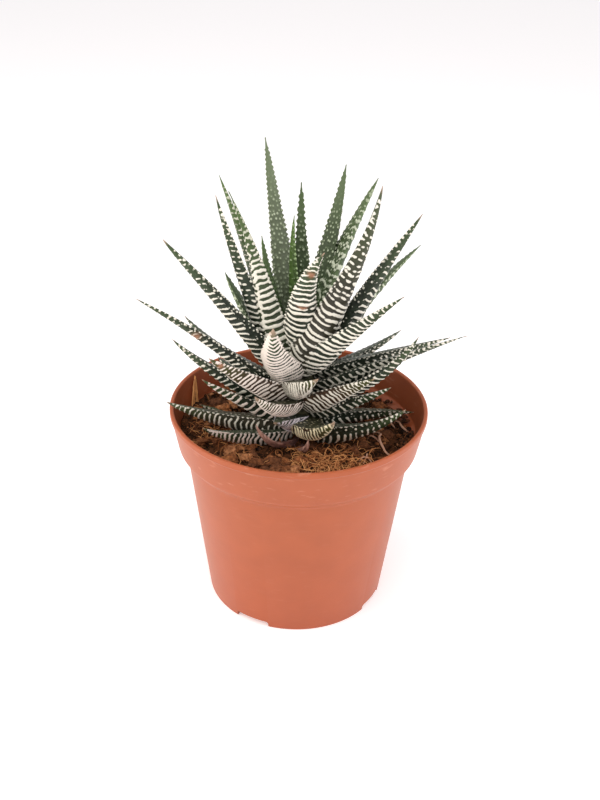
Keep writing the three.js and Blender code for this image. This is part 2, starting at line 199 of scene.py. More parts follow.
# Colours of the leaves' green skin, and of their bands
GREENS = {
    "dark": (0.022, 0.031, 0.019), "mid": (0.043, 0.057, 0.028), "lively": (0.050, 0.078, 0.028),
    "fresh": (0.095, 0.165, 0.040), "grey": (0.190, 0.220, 0.135), "umber": (0.048, 0.027, 0.014),
    "slate": (0.040, 0.040, 0.050), "brown": (0.042, 0.038, 0.025), "bright": (0.060, 0.095, 0.030)}
WHITES = {
    "cream": (0.84, 0.80, 0.69), "rose": (0.85, 0.755, 0.67), "leafy": (0.42, 0.55, 0.28),
    "moss": (0.62, 0.66, 0.50), "yellow": (0.92, 0.84, 0.58), "lilac": (0.85, 0.79, 0.83)}

# Other colours of a leaf: its face, the painted shade at its foot, worn white, stains and a dry tip
FACE_GREEN = (0.105, 0.145, 0.070)
FOOT_SHADE_GREEN = (0.014, 0.018, 0.009)
WORN_WHITE = (0.45, 0.35, 0.24)
STAIN_BROWN = (0.33, 0.16, 0.09)
DRY_TIP = (0.40, 0.27, 0.19)

LOOKS = {
    "young": Look(2.8, 0.20, -1.0, 1.6, 0.6, 0.6, 0.5, 0.0, 0.3, 0.5, "fresh", "leafy", "leaf_young"),
    "heart": Look(2.9, 0.38, -1.2, 1.6, 3.0, 0.4, 0.85, 0.0, 0.5, 0.95, "lively", "moss", "leaf_green"),
    "misty": Look(2.9, 0.38, -1.2, 1.6, 3.0, 0.4, 0.85, 0.0, 0.5, 0.95, "grey", "moss", "leaf_green"),
    "tall": Look(2.3, 0.36, -2.0, 1.3, 7.0, 0.3, 0.86, 0.0, 0.5, 0.8, "lively", "cream", "leaf_green"),
    "wedged": Look(2.4, 0.38, -2.0, 1.3, 7.0, 0.2, 0.86, 0.0, 0.5, 0.8, "dark", "cream", "leaf_green"),
    "folded": Look(3.0, 0.46, -8.0, 1.4, 15.0, 0.05, 0.97, 0.0, 0.9, 0.5, "dark", "cream", "leaf_green"),
    "clumped": Look(2.6, 0.50, -3.0, 1.3, 20.0, 0.05, 0.95, 1.0, 0.72, 0.8, "mid", "cream", "leaf_green"),
    "broken": Look(2.4, 0.44, -1.5, 1.5, 6.0, 0.4, 0.95, 0.0, 0.42, 0.8, "brown", "cream", "leaf_green"),
    "split": Look(2.8, 0.36, -3.5, 1.5, 20.0, 0.1, 0.9, 0.0, 0.6, 0.8, "dark", "cream", "leaf_green"),
    "blotched": Look(4.2, 0.34, -1.2, 1.5, 5.0, 0.3, 0.85, 0.0, 0.55, 0.9, "bright", "moss", "leaf_green"),
    "strokes": Look(2.6, 0.36, -3.5, 1.3, 20.0, 0.1, 0.6, 0.0, 0.62, 0.85, "dark", "cream", "leaf_green"),
    "ridged": Look(2.6, 0.38, -3.5, 1.3, 20.0, 0.1, 0.9, 0.45, 0.7, 0.85, "dark", "cream", "leaf_green"),
    "thin": Look(2.2, 0.34, -4.0, 1.3, 20.0, 0.1, 0.9, 0.0, 0.95, 0.7, "brown", "cream", "leaf_green"),
    "zigzag": Look(2.1, 0.54, -4.0, 1.3, 20.0, 0.1, 0.95, 0.0, 0.9, 0.7, "dark", "rose", "leaf_green"),
    "ladder": Look(2.9, 0.40, -1.5, 1.3, 20.0, 0.1, 0.85, 0.0, 0.85, 0.7, "dark", "rose", "leaf_green"),
    "chevron": Look(2.5, 0.48, -4.0, 1.2, 20.0, 0.05, 0.92, 0.0, 0.74, 0.7, "dark", "cream", "leaf_green"),
    "fine": Look(2.4, 0.50, -5.0, 1.5, 20.0, 0.05, 0.85, 0.0, 0.7, 0.8, "umber", "rose", "leaf_green"),
    "gold": Look(2.1, 0.46, -4.0, 1.3, 20.0, 0.05, 0.8, 0.0, 0.8, 0.7, "umber", "cream", "leaf_green"),
    "pale": Look(1.9, 0.66, -3.5, 1.3, 30.0, 0.0, 0.97, 0.0, 0.95, 0.3, "dark", "rose", "leaf_pale"),
    "cream": Look(1.7, 0.58, -6.0, 1.4, 30.0, 0.0, 0.97, 0.0, 0.95, 0.2, "umber", "cream", "leaf_pale"),
    "shell": Look(1.65, 0.58, -5.5, 1.4, 30.0, 0.0, 0.9, 0.0, 0.95, 0.4, "umber", "rose", "leaf_pale"),
    "lilac": Look(1.4, 0.56, -4.0, 1.4, 30.0, 0.0, 0.9, 0.0, 0.95, 0.3, "slate", "lilac", "leaf_pale"),
    "olive": Look(1.6, 0.54, -6.0, 1.3, 30.0, 0.0, 0.84, 0.0, 0.8, 0.5, "umber", "yellow", "leaf_pale"),
}


class Fold(NamedTuple):
    """How a leaf's bands bend about a line of their own.

    centre is the line's place across the back, from -1 to 1. The bands rise from it by left
    and right, as by a look's arch. shifted is how far their left halves are moved, as a part
    of the period, and steep how much steeper they are at the foot than halfway.
    """

    centre: float
    left: float
    right: float
    shifted: float = 0.0
    steep: float = 1.3


class Side(NamedTuple):
    """Where a leaf's bands merge or end.

    It is beyond a line across the back, on the side given by -1 for left or 1 for right. The
    gaps between bands close there by so many millimetres, or open if it is below zero.
    """

    line: float
    side: int
    closing: float


# Leaves whose bands bend about another line than the keel
FOLDS = {
    "upper_1": Fold(-0.05, -5.5, -5.5, 0.0, 0.1), "upper_7": Fold(0.12, -4.0, 0.8, 0.35),
    "upper_8": Fold(-0.36, 4.0, -2.5, 0.0, 1.0), "upper_9": Fold(-0.4, -1.0, -3.5, 0.4),
    "upper_2": Fold(0.0, -2.0, -0.8), "middle_4": Fold(-0.05, -3.5, -3.5),
    "middle_5": Fold(0.0, -1.0, -4.0), "middle_8": Fold(-0.2, -3.5, -2.0, 0.45),
    "middle_11": Fold(-0.5, -4.0, -6.0, 0.4), "middle_12": Fold(-0.95, 0.0, -9.0),
    "lower_2": Fold(0.35, -3.5, -6.5), "lower_5": Fold(-0.5, -4.0, -2.5, 0.4),
    "lower_6": Fold(0.4, 0.0, -1.5), "lower_7": Fold(-0.3, -4.0, -5.0),
    "lower_12": Fold(0.62, -4.3, -3.0), "lower_13": Fold(-0.75, 0.0, -6.0),
    "lower_17": Fold(0.6, -4.0, -2.0), "lower_18": Fold(-0.6, -3.0, -5.4)}

# Leaves whose bands merge or end on one side, and the other leaves' lack of one
SIDES = {
    "middle_4": Side(-0.35, -1, 0.45), "middle_12": Side(0.1, 1, 0.45),
    "lower_5": Side(0.45, 1, 0.45), "lower_6": Side(0.1, -1, 0.4), "lower_9": Side(0.22, -1, 0.45),
    "lower_13": Side(-0.1, 1, 0.4), "upper_9": Side(-0.5, -1, -2.0),
    "lower_18": Side(-0.65, -1, -2.0)}
NO_SIDE = Side(9.0, 1, 0.0)

# Leaves that show bands on their face too
FACE_BANDED = ("heart_6",)

# Brown stains: along the leaf, across it, and length of the stain over the leaf's
STAINS = {
    "upper_1": ((0.80, -0.15, 0.022), (0.50, -0.05, 0.009)), "lower_2": ((0.87, 0.5, 0.022),),
    "middle_10": ((0.62, 0.3, 0.02),)}

# The leaves, as in the imported part. The rows of those that the photo shows were fitted to
# points along their outlines by scratch scripts and rounded. The others are set one by one.
LEAVES = [
    Leaf("heart_1", 151, -90, 116, 80, 12, 0, 52, 8, "young"),
    Leaf("heart_2", 176, -174, 113, 76, 6, 0, 64, 8, "heart"),
    Leaf("heart_3", -110, -138, 111, 64, 12, -1, 47, 8, "young"),
    Leaf("heart_4", -155, -161, 112, 59, 3, 1, 84, 11, "misty"),
    Leaf("heart_5", 178, 148, 114, 60, 9, 4, 72, 12, "heart"),
    Leaf("heart_6", -154, 126, 112, 63, -15, 6, 74, 13, "blotched"),
    Leaf("heart_7", 180, 180, 108, 52, 10, 0, 54, 12, "heart"),
    Leaf("upper_1", 19, -8, 115, 64, -18, 43, 65, 13, "folded"),
    Leaf("upper_2", -116, -101, 107, 73, -9, -1, 79, 12, "tall"),
    Leaf("upper_3", 112, 123, 105, 46, -22, 4, 67, 10, "heart"),
    Leaf("upper_4", -123, -120, 105, 40, 10, -10, 45, 12, "heart"),
    Leaf("upper_5", 205, 205, 104, 40, 12, 0, 46, 12, "tall"),
    Leaf("upper_6", 160, 160, 104, 38, 12, 0, 44, 12, "tall"),
    Leaf("upper_7", -86, -63, 96, 80, -15, -2, 89, 17, "clumped"),
    Leaf("upper_8", -12, 49, 108, 64, 9, 67, 84, 17, "broken"),
    Leaf("upper_9", 84, 72, 106, 62, -5, -2, 80, 13, "split"),
    Leaf("upper_10", -87, -79, 101, 69, 3, -8, 81, 12, "wedged"),
    Leaf("middle_1", 96, 97, 104, 13, -2, -1, 57, 10, "strokes"),
    Leaf("middle_2", 135, 140, 101, 18, 14, 0, 42, 12, "strokes"),
    Leaf("middle_3", 114, 113, 101, 13, 11, 1, 42, 10, "strokes"),
    Leaf("middle_4", -34, -26, 107, 32, 37, 34, 42, 16, "pale"),
    Leaf("middle_5", -78, -74, 104, 55, -13, -23, 74, 13, "strokes"),
    Leaf("middle_6", -108, -110, 97, 14, 25, -4, 51, 11, "strokes"),
    Leaf("middle_7", 225, 222, 100, 20, 14, 0, 36, 12, "strokes"),
    Leaf("middle_8", 6, 51, 109, 45, -5, 1, 63, 14, "chevron"),
    Leaf("middle_9", 182, 182, 98, 22, 14, 0, 48, 13, "strokes"),
    Leaf("middle_10", -65, -84, 95, 40, -9, 7, 73, 10, "strokes"),
    Leaf("middle_11", 79, 82, 98, 26, -3, -3, 66, 11, "ridged"),
    Leaf("middle_12", -8, -2, 102, 22, 14, 47, 33, 15, "cream"),
    Leaf("middle_13", 160, 160, 93, 10, 14, 0, 44, 13, "strokes"),
    Leaf("middle_14", 205, 205, 92, 10, 14, 0, 44, 13, "strokes"),
    Leaf("middle_15", 69, 72, 93, 24, 37, 1, 55, 12, "strokes"),
    Leaf("lower_1", 120, 124, 91, 6, 12, 0, 42, 13, "strokes"),
    Leaf("lower_2", -53, -41, 96, 33, 5, 12, 59, 14, "fine"),
    Leaf("lower_3", 240, 240, 90, 8, 12, 0, 36, 13, "strokes"),
    Leaf("lower_4", -84, -89, 90, 23, 18, -1, 53, 13, "strokes"),
    Leaf("lower_5", 34, 47, 93, 34, -2, -10, 44, 14, "gold"),
    Leaf("lower_6", -27, -19, 94, 13, 33, -16, 38, 13, "shell"),
    Leaf("lower_7", 72, 73, 88, 21, 11, -10, 37, 12, "strokes"),
    Leaf("lower_8", 180, 182, 84, 2, 12, 0, 42, 13, "strokes"),
    Leaf("lower_9", -74, -74, 84, 28, 7, 7, 41, 11, "ladder"),
    Leaf("lower_10", 107, 101, 83, 0, -8, -8, 44, 13, "strokes"),
    Leaf("lower_11", -28, -14, 85, 25, -21, -26, 19, 13, "lilac"),
    Leaf("lower_12", -85, -80, 81, 8, 18, 10, 51, 16, "thin"),
    Leaf("lower_13", 4, 21, 85, 5, 48, 21, 32, 14, "olive"),
    Leaf("lower_14", 220, 216, 80, 0, 10, 0, 40, 13, "strokes"),
    Leaf("lower_15", 145, 148, 79, 0, 10, 0, 40, 13, "strokes"),
    Leaf("lower_16", 255, 258, 77, 3, 8, 0, 38, 12, "strokes"),
    Leaf("lower_17", -64, -60, 78, 6, 28, 12, 42, 14, "zigzag"),
    Leaf("lower_18", 73, 58, 79, 14, 27, 13, 46, 15, "strokes"),
]

DRY_LEAVES = [
    Leaf("front_left", -25, -24, 76, 6, 68, -52, 29, 9, "dry"),
    Leaf("front", 8, 4, 75, -6, 88, 24, 22, 7, "dry"),
]

# Lights: place, size in metres, power and colour
LIGHTS = {
    "left": ((-0.65, -0.15, 0.35), 0.7, 3.0, (1, 0.95, 0.86)),
    "right": ((0.65, -0.1, 0.35), 0.7, 2.5, (1, 0.96, 1)),
    "top": ((-0.2, -0.2, 0.9), 0.6, 2.0, (1, 1, 1)),
    "front": ((0, -0.9, 0.75), 0.8, 2.4, (1, 0.99, 0.96)),
}
LIGHTS_AIM = (0, 0, 0.09)
CAMERA_AIM = (0.0004, 0, 0.0894)
HALF_FLOOR = 12


# Settings that a user would change

class HaworthiaPotSettings(bpy.types.PropertyGroup):
    """The pot's finish"""

    colour: FloatVectorProperty(
        name="Plastic colour", description="Colour of the pot's plastic",
        subtype="COLOR", size=3, min=0, max=1, default=(0.425, 0.098, 0.032))
    roughness: FloatProperty(
        name="Roughness", description="Roughness of the moulded plastic",
        min=0, max=1, default=0.42)
    sides: IntProperty(
        name="Sides", description="Sides of the turned pot", min=24, max=512, default=160)


class HaworthiaLeafSettings(bpy.types.PropertyGroup):
    """The leaves' bands and skin"""

    band_height: FloatProperty(
        name="Band height", description="How far the white bands stand out, in metres",
        unit="LENGTH", min=0, max=0.002, default=0.00042)
    green: FloatProperty(
        name="Green", description="Brightness of the leaves' green skin", min=0.2, max=3, default=1)
    white: FloatProperty(
        name="White", description="Brightness of the bands and dots", min=0.2, max=1.2, default=1)


class HaworthiaSoilSettings(bpy.types.PropertyGroup):
    """The soil and what lies on it"""

    chips: IntProperty(
        name="Bark chips", description="Number of small bark chips", min=0, max=2000, default=900)
    fibres: IntProperty(
        name="Coir fibres", description="Number of coir fibres", min=0, max=1000, default=460)
    bark_colour: FloatVectorProperty(
        name="Bark colour", description="Colour of the warmest bark chips",
        subtype="COLOR", size=3, min=0, max=1, default=(0.32, 0.115, 0.038))


class HaworthiaStageSettings(bpy.types.PropertyGroup):
    """The camera and the lights"""

    elevation: FloatProperty(
        name="Camera elevation", description="Angle of the camera above level",
        subtype="ANGLE", default=math.radians(29.9))
    distance: FloatProperty(
        name="Camera distance", description="Distance of the camera from its target",
        unit="LENGTH", min=0.1, max=5, default=0.45)
    roll: FloatProperty(
        name="Camera roll", description="Tilt of the picture", subtype="ANGLE",
        default=math.radians(1.35))
    lens: FloatProperty(
        name="Lens", description="Focal length in millimetres on a 36 mm tall sensor",
        min=10, max=300, default=49.7)


# Small helpers

def direction(bearing, rise=0.0):
    """Unit vector of a bearing in degrees, with a rise above level"""
    a = math.radians(bearing)
    b = math.radians(rise)
    return Vector((math.sin(a) * math.cos(b), -math.cos(a) * math.cos(b), math.sin(b)))


def clamp(value, low=0.0, high=1.0):
    return max(low, min(high, value))


def smooth(low, high, value):
    """0 at low to 1 at high, easing in and out"""
    t = clamp((value - low) / (high - low))
    return t * t * (3 - 2 * t)


def finish_piece(name, bm, material, nodes=()):
    """Makes an object of a mesh in millimetres and ties it to the frame"""
    bmesh.ops.scale(bm, vec=(MM, MM, MM), verts=bm.verts)
    mesh = bpy.data.meshes.new(name)
    bm.to_mesh(mesh)
    bm.free()
    for polygon in mesh.polygons:
        polygon.use_smooth = True
    mesh.materials.append(material)
    piece = bpy.data.objects.new(name, mesh)
    bpy.context.scene.collection.objects.link(piece)
    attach(piece, BODY)
    if nodes:
        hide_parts(*nodes)
    return piece


def gathered(parts):
    """One mesh of many small ones, which are quicker to make apart"""
    whole = bmesh.new()
    mesh = bpy.data.meshes.new("gathered")
    for bm in parts:
        bmesh.ops.recalc_face_normals(bm, faces=bm.faces)
        bm.to_mesh(mesh)
        bm.free()
        whole.from_mesh(mesh)
    bpy.data.meshes.remove(mesh)
    return whole


def new_material(name):
    material = bpy.data.materials.new(name)
    material.use_nodes = True
    tree = material.node_tree
    return material, tree, tree.nodes["Principled BSDF"]


# Shader nodes, each of which returns its output

def feed(tree, socket, value):
    """Links a socket to another one, or sets it to a plain value"""
    if isinstance(value, bpy.types.NodeSocket):
        tree.links.new(value, socket)
    else:
        socket.default_value = value


def object_place(tree):
    """Place in object space"""
    return tree.nodes.new("ShaderNodeTexCoord").outputs["Object"]


def attribute(tree, name, output="Fac"):
    node = tree.nodes.new("ShaderNodeAttribute")
    node.attribute_name = name
    return node.outputs[output]


def stretched(tree, vector, scale):
    node = tree.nodes.new("ShaderNodeMapping")
    node.inputs["Scale"].default_value = scale
    feed(tree, node.inputs["Vector"], vector)
    return node.outputs["Vector"]


def math_node(tree, operation, a, b, clamped=False):
    """A math node on two sockets or numbers"""
    node = tree.nodes.new("ShaderNodeMath")
    node.operation = operation
    node.use_clamp = clamped
    feed(tree, node.inputs[0], a)
    feed(tree, node.inputs[1], b)
    return node.outputs["Value"]


def remap(tree, value, low, high, to_low=0.0, to_high=1.0, kind="SMOOTHSTEP"):
    """A step of a value between two limits"""
    node = tree.nodes.new("ShaderNodeMapRange")
    node.interpolation_type = kind
    labels = ("Value", "From Min", "From Max", "To Min", "To Max")
    for label, given in zip(labels, (value, low, high, to_low, to_high)):
        feed(tree, node.inputs[label], given)
    return node.outputs["Result"]


def mix_colour(tree, factor, a, b, blend="MIX"):
    """A colour mix of two sockets or colours"""
    node = tree.nodes.new("ShaderNodeMix")
    node.data_type = "RGBA"
    node.blend_type = blend
    for label, given in zip(("Factor", "A", "B"), (factor, a, b)):
        feed(tree, node.inputs[label], given)
    return node.outputs["Result"]


def noise_value(tree, vector, scale, detail=3.0):
    node = tree.nodes.new("ShaderNodeTexNoise")
    node.inputs["Detail"].default_value = detail
    feed(tree, node.inputs["Scale"], scale)
    feed(tree, node.inputs["Vector"], vector)
    return node.outputs["Fac"]


def bumped(tree, height, strength, distance=0.0004):
    node = tree.nodes.new("ShaderNodeBump")
    node.inputs["Strength"].default_value = strength
    node.inputs["Distance"].default_value = distance
    feed(tree, node.inputs["Height"], height)
    return node.outputs["Normal"]


def dress(tree, shader, colour, roughness, specular=0.5, normal=None):
    """Feeds a surface's colour, roughness, sheen and bumps to its shader"""
    feed(tree, shader.inputs["Base Color"], colour)
    feed(tree, shader.inputs["Roughness"], roughness)
    feed(tree, shader.inputs["Specular IOR Level"], specular)
    if normal is not None:
        feed(tree, shader.inputs["Normal"], normal)


# Shader groups that several materials share

def group_tree(name, inputs, outputs):
    tree = bpy.data.node_groups.new(name, "ShaderNodeTree")
    for label, kind, value in inputs:
        socket = tree.interface.new_socket(name=label, in_out="INPUT", socket_type=kind)
        if value is not None:
            socket.default_value = value
    for label, kind in outputs:
        tree.interface.new_socket(name=label, in_out="OUTPUT", socket_type=kind)
    return tree, tree.nodes.new("NodeGroupInput"), tree.nodes.new("NodeGroupOutput")


def mottle_group():
    """Two colours mixed by noise in object space, with a matching bump height"""
    name = "mottle"
    if name in bpy.data.node_groups:
        return bpy.data.node_groups[name]
    tree, given, result = group_tree(
        name,
        [("Colour A", "NodeSocketColor", (1, 1, 1, 1)),
         ("Colour B", "NodeSocketColor", (0, 0, 0, 1)),
         ("Scale", "NodeSocketFloat", 400.0),
         ("Low", "NodeSocketFloat", 0.35),
         ("High", "NodeSocketFloat", 0.65)],
        [("Colour", "NodeSocketColor"), ("Mask", "NodeSocketFloat")])
    grain = noise_value(tree, object_place(tree), given.outputs["Scale"], 5)
    mask = remap(tree, grain, given.outputs["Low"], given.outputs["High"], kind="LINEAR")
    colour = mix_colour(tree, mask, given.outputs["Colour A"], given.outputs["Colour B"])
    feed(tree, result.inputs["Colour"], colour)
    feed(tree, result.inputs["Mask"], mask)
    return tree


def add_group(tree, group, **values):
    node = tree.nodes.new("ShaderNodeGroup")
    node.node_tree = group
    for label, value in values.items():
        node.inputs[label.replace("_", " ")].default_value = value
    return node


def rgba(colour, factor=1.0):
    return tuple(c * factor for c in colour) + (1.0,)


# Pot

def pot_profile():
    """Outline of the pot's wall, from the middle of the underside round to the floor"""
    step = COLLAR_BOTTOM_RADIUS - BODY_TOP_RADIUS
    lip_bottom = POT_HEIGHT - LIP_HEIGHT
    return [
        (0, FLOOR_UNDERSIDE, 0), (FOOT_RADIUS - FOOT_RING, FLOOR_UNDERSIDE, 0.4),
        (FOOT_RADIUS - FOOT_RING + FOOT_RING_DRAFT, 0, 0.4), (FOOT_RADIUS, 0, 0.6),
        (BODY_TOP_RADIUS, COLLAR_BOTTOM - step, 1.2),
        (COLLAR_BOTTOM_RADIUS, COLLAR_BOTTOM, 1.0),
        (RIM_RADIUS - LIP_STEP, lip_bottom - LIP_STEP, 0.4), (RIM_RADIUS, lip_bottom, 0.4),
        (RIM_RADIUS, POT_HEIGHT, 0.7), (RIM_RADIUS - LIP, POT_HEIGHT, 0.7),
        (COLLAR_BOTTOM_RADIUS - WALL + LEDGE_DRAFT, LEDGE_TOP, 0.8),
        (BODY_TOP_RADIUS - WALL, LEDGE, 0.8),
        (FOOT_RADIUS - WALL, FLOOR_TOP + INNER_CORNER_UP, 0.8),
        (FOOT_RADIUS - WALL - INNER_CORNER_ACROSS, FLOOR_TOP, 0.8), (0, FLOOR_TOP, 0),
    ]


def rounded(profile, steps=4):
    """The outline with each corner turned into an arc of its own radius"""
    points = []
    for i, (r, z, radius) in enumerate(profile):
        corner = Vector((r, z))
        if radius == 0:
            points.append(corner)
            continue
        before = Vector(profile[i - 1][:2]) - corner
        after = Vector(profile[i + 1][:2]) - corner
        start = corner + before.normalized() * min(radius, before.length * 0.45)
        end = corner + after.normalized() * min(radius, after.length * 0.45)
        for k in range(steps + 1):
            t = k / steps
            points.append(start * (1 - t) ** 2 + corner * 2 * t * (1 - t) + end * t * t)
    return points


def spun(points, sides):
    """A closed turned shape from an outline that starts and ends on the axis"""
    bm = bmesh.new()
    verts = [bm.verts.new((p[0], 0, p[1])) for p in points]
    edges = [bm.edges.new(pair) for pair in zip(verts, verts[1:])]
    bmesh.ops.spin(
        bm, geom=verts + edges, cent=(0, 0, 0), axis=(0, 0, 1), angle=math.tau,
        steps=sides, use_merge=True, use_duplicate=False)
    bmesh.ops.remove_doubles(bm, verts=bm.verts, dist=0.0005)
    bmesh.ops.recalc_face_normals(bm, faces=bm.faces)
    return bm


def cutter(name, bm):
    """A hidden tool object for a boolean cut, in metres"""
    bmesh.ops.recalc_face_normals(bm, faces=bm.faces)
    bmesh.ops.scale(bm, vec=(MM, MM, MM), verts=bm.verts)
    mesh = bpy.data.meshes.new(name)
    bm.to_mesh(mesh)
    bm.free()
    tool = bpy.data.objects.new(name, mesh)
    bpy.context.scene.collection.objects.link(tool)
    return tool


def cut(piece, tool):
    """Takes the tool's shape out of the piece and removes the tool"""
    modifier = piece.modifiers.new("cut", "BOOLEAN")
    modifier.operation = "DIFFERENCE"
    modifier.solver = "EXACT"
    modifier.object = tool
    graph = bpy.context.evaluated_depsgraph_get()
    cut_mesh = bpy.data.meshes.new_from_object(piece.evaluated_get(graph))
    piece.modifiers.clear()
    piece.data = cut_mesh
    bpy.data.objects.remove(tool)


def pot_openings():
    """The foot's notches and the drainage holes, as one cutting shape"""
    bm = bmesh.new()
    size = Matrix.Diagonal((NOTCH_WIDTH, NOTCH_DEPTH, 2 * NOTCH_HEIGHT, 1))
    for bearing in FOOT_NOTCHES:
        turn = Matrix.Rotation(math.radians(bearing), 4, "Z")
        move = Matrix.Translation((0, -FOOT_RADIUS, 0))
        notch = bmesh.ops.create_cube(bm, size=1, matrix=turn @ move @ size)["verts"]
        roof = {e for v in notch for e in v.link_edges if min(u.co.z for u in e.verts) > 0}
        bmesh.ops.bevel(
            bm, geom=list(roof), offset=1.1, segments=4, profile=0.5, affect="EDGES", material=-1)
    for k in range(DRAIN_HOLES):
        at = direction(360 / DRAIN_HOLES * k) * DRAIN_CIRCLE
        bmesh.ops.create_cone(
            bm, cap_ends=True, segments=32, radius1=DRAIN_RADIUS, radius2=DRAIN_RADIUS, depth=8,
            matrix=Matrix.Translation((at.x, at.y, FLOOR_UNDERSIDE)))
    return cutter("pot_openings", bm)


def plastic_material(settings):
    """Moulded plastic: satin, faintly mottled, scuffed on the collar, with painted shade that
    darkens it towards the foot and on the inner wall"""
    material, tree, shader = new_material("terracotta_plastic")
    at = object_place(tree)
    split = tree.nodes.new("ShaderNodeSeparateXYZ")
    feed(tree, split.inputs["Vector"], at)
    height = split.outputs["Z"]
    mottle = add_group(
        tree, mottle_group(), Colour_A=rgba(settings.colour), Colour_B=rgba(settings.colour, 0.9),
        Scale=90.0, Low=0.3, High=0.75)
    # Painted shade: the plastic darkens towards the foot
    foot = remap(tree, height, 0.0, 0.65 * POT_HEIGHT * MM, 0.26, 0.0, kind="LINEAR")
    colour = mix_colour(tree, foot, mottle.outputs["Colour"], rgba((0.36, 0.055, 0.014)))
    patches = noise_value(tree, stretched(tree, at, (1, 1, 4)), 140, 8)
    patches = remap(tree, patches, 0.59, 0.72, kind="LINEAR")
    collar = remap(
        tree, height, (COLLAR_BOTTOM - 2) * MM, (COLLAR_BOTTOM + 4) * MM, 0.03, 0.28, kind="LINEAR")
    scuffs = math_node(tree, "MULTIPLY", patches, collar)
    colour = mix_colour(tree, scuffs, colour, rgba((0.74, 0.36, 0.24)))
    # Painted shade on the inner wall: where the surface faces the axis, the plastic is darkened
    outward = tree.nodes.new("ShaderNodeVectorMath")
    outward.operation = "DOT_PRODUCT"
    shape = tree.nodes.new("ShaderNodeNewGeometry")
    feed(tree, outward.inputs[0], shape.outputs["Normal"])
    feed(tree, outward.inputs[1], at)
    inner_wall_shade = remap(tree, outward.outputs["Value"], -0.01, -0.03, 0.0, 0.3, kind="LINEAR")
    colour = mix_colour(tree, inner_wall_shade, colour, rgba((0.05, 0.018, 0.010)))
    rough = remap(
        tree, scuffs, 0.0, 1.0, settings.roughness, settings.roughness + 0.25, kind="LINEAR")
    grain = noise_value(tree, at, 1600, 2)
    dress(tree, shader, colour, rough, 0.4, bumped(tree, grain, 0.06))
    return material


class HAWORTHIA_OT_pot(bpy.types.Operator):
    """Turns the nursery pot and cuts its foot notches and drainage holes"""

    bl_idname = "haworthia.pot"
    bl_label = "Pot"

    def execute(self, context):
        settings = context.scene.haworthia_pot
        bm = spun(rounded(pot_profile()), settings.sides)
        piece = finish_piece("nursery_pot", bm, plastic_material(settings), ["pot"])
        cut(piece, pot_openings())
        for polygon in piece.data.polygons:
            polygon.use_smooth = True
        piece.data.set_sharp_from_angle(angle=math.radians(40))
        return {"FINISHED"}


# Soil

def soil_height(x, y):
    """Height of the soil: heaped on the left and round the stem"""
    heap = sum(
        high * math.exp(-((x - mx) ** 2 + (y - my) ** 2) / spread)
        for mx, my, spread, high in SOIL_MOUNDS)
    wave = math.sin(x * 0.31 + 1.3) * math.cos(y * 0.27) + 0.6 * math.sin(x * 0.62 - y * 0.48)
    return SOIL_LEVEL + SOIL_HEAP * heap + SOIL_WAVE * wave


def wall_radius(z):
    """Inner radius of the pot's wall at a height, less the gap to the soil"""
    points = [
        (FLOOR_TOP, FOOT_RADIUS - WALL - INNER_CORNER_ACROSS),
        (FLOOR_TOP + INNER_CORNER_UP, FOOT_RADIUS - WALL), (LEDGE, BODY_TOP_RADIUS - WALL),
        (LEDGE_TOP, COLLAR_BOTTOM_RADIUS - WALL + LEDGE_DRAFT), (POT_HEIGHT, RIM_RADIUS - LIP)]
    for (z0, r0), (z1, r1) in zip(points, points[1:]):
        if z <= z1:
            return r0 + (r1 - r0) * clamp((z - z0) / (z1 - z0)) - SOIL_GAP
    return points[-1][1] - SOIL_GAP


def soil_bump(x, y):
    """Crumbs and clods of the soil"""
    clods = noise.fractal(Vector((x * 0.16, y * 0.16, 4.0)), 0.8, 2.1, 5)
    crumbs = noise.voronoi(Vector((x * 0.42, y * 0.42, 1.7)))[0][0]
    grains = noise.voronoi(Vector((x * 1.1, y * 1.1, 5.2)))[0][0]
    return 0.9 * clods + 0.9 * (0.45 - crumbs) + 0.35 * (0.4 - grains)


def soil_mesh():
    """The body of the soil, closed underneath, with a crumbled surface"""
    bm = bmesh.new()
    place = bm.verts.layers.int.new("place")
    ring = bmesh.ops.create_circle(bm, segments=SOIL_SIDES, radius=1, cap_ends=False)["verts"]
    bearings = [math.atan2(v.co.x, -v.co.y) for v in ring]
    for k, v in enumerate(ring):
        v[place] = k
    levels = [(height, 0.0) for height in (5.0, 8.0, 40.0, LEDGE - 1, LEDGE)]
    levels += [(None, i / SOIL_RINGS) for i in range(SOIL_RINGS)]
    edges = list(bm.edges)
    for i, (height, inward) in enumerate(levels):
        if i:
            made = bmesh.ops.extrude_edge_only(bm, edges=edges)["geom"]
            ring = [g for g in made if isinstance(g, bmesh.types.BMVert)]
            edges = [g for g in made if isinstance(g, bmesh.types.BMEdge) and g.is_boundary]
        for v in ring:
            a = bearings[v[place]]
            out = Vector((math.sin(a), -math.cos(a), 0))
            if height is None:
                at = out * wall_radius(SOIL_LEVEL) * (1 - inward)
                z = soil_height(at.x, at.y) + soil_bump(at.x, at.y)
                v.co = out * (wall_radius(z) * (1 - inward)) + Vector((0, 0, z))
            else:
                v.co = out * wall_radius(height) + Vector((0, 0, height))
    bmesh.ops.pointmerge(bm, verts=ring, merge_co=Vector((0, 0, soil_height(0, 0))))
    bmesh.ops.holes_fill(bm, edges=[e for e in bm.edges if e.is_boundary], sides=0)
    bmesh.ops.recalc_face_normals(bm, faces=bm.faces)
    return bm


def soil_material(settings):
    """Dark peat with warm brown crumbs"""
    material, tree, shader = new_material("bark_soil")
    coarse = add_group(
        tree, mottle_group(), Colour_A=rgba((0.020, 0.009, 0.005)), Colour_B=rgba((0.20, 0.072, 0.028)),
        Scale=300.0, Low=0.42, High=0.62)
    fine = add_group(
        tree, mottle_group(), Colour_A=rgba((0.014, 0.007, 0.004)),
        Colour_B=rgba(settings.bark_colour, 1.4), Scale=1500.0, Low=0.48, High=0.70)
    colour = mix_colour(tree, 0.5, coarse.outputs["Colour"], fine.outputs["Colour"])
    dress(tree, shader, colour, 0.95, 0.1, bumped(tree, fine.outputs["Mask"], 1.0, 0.0007))
    return material


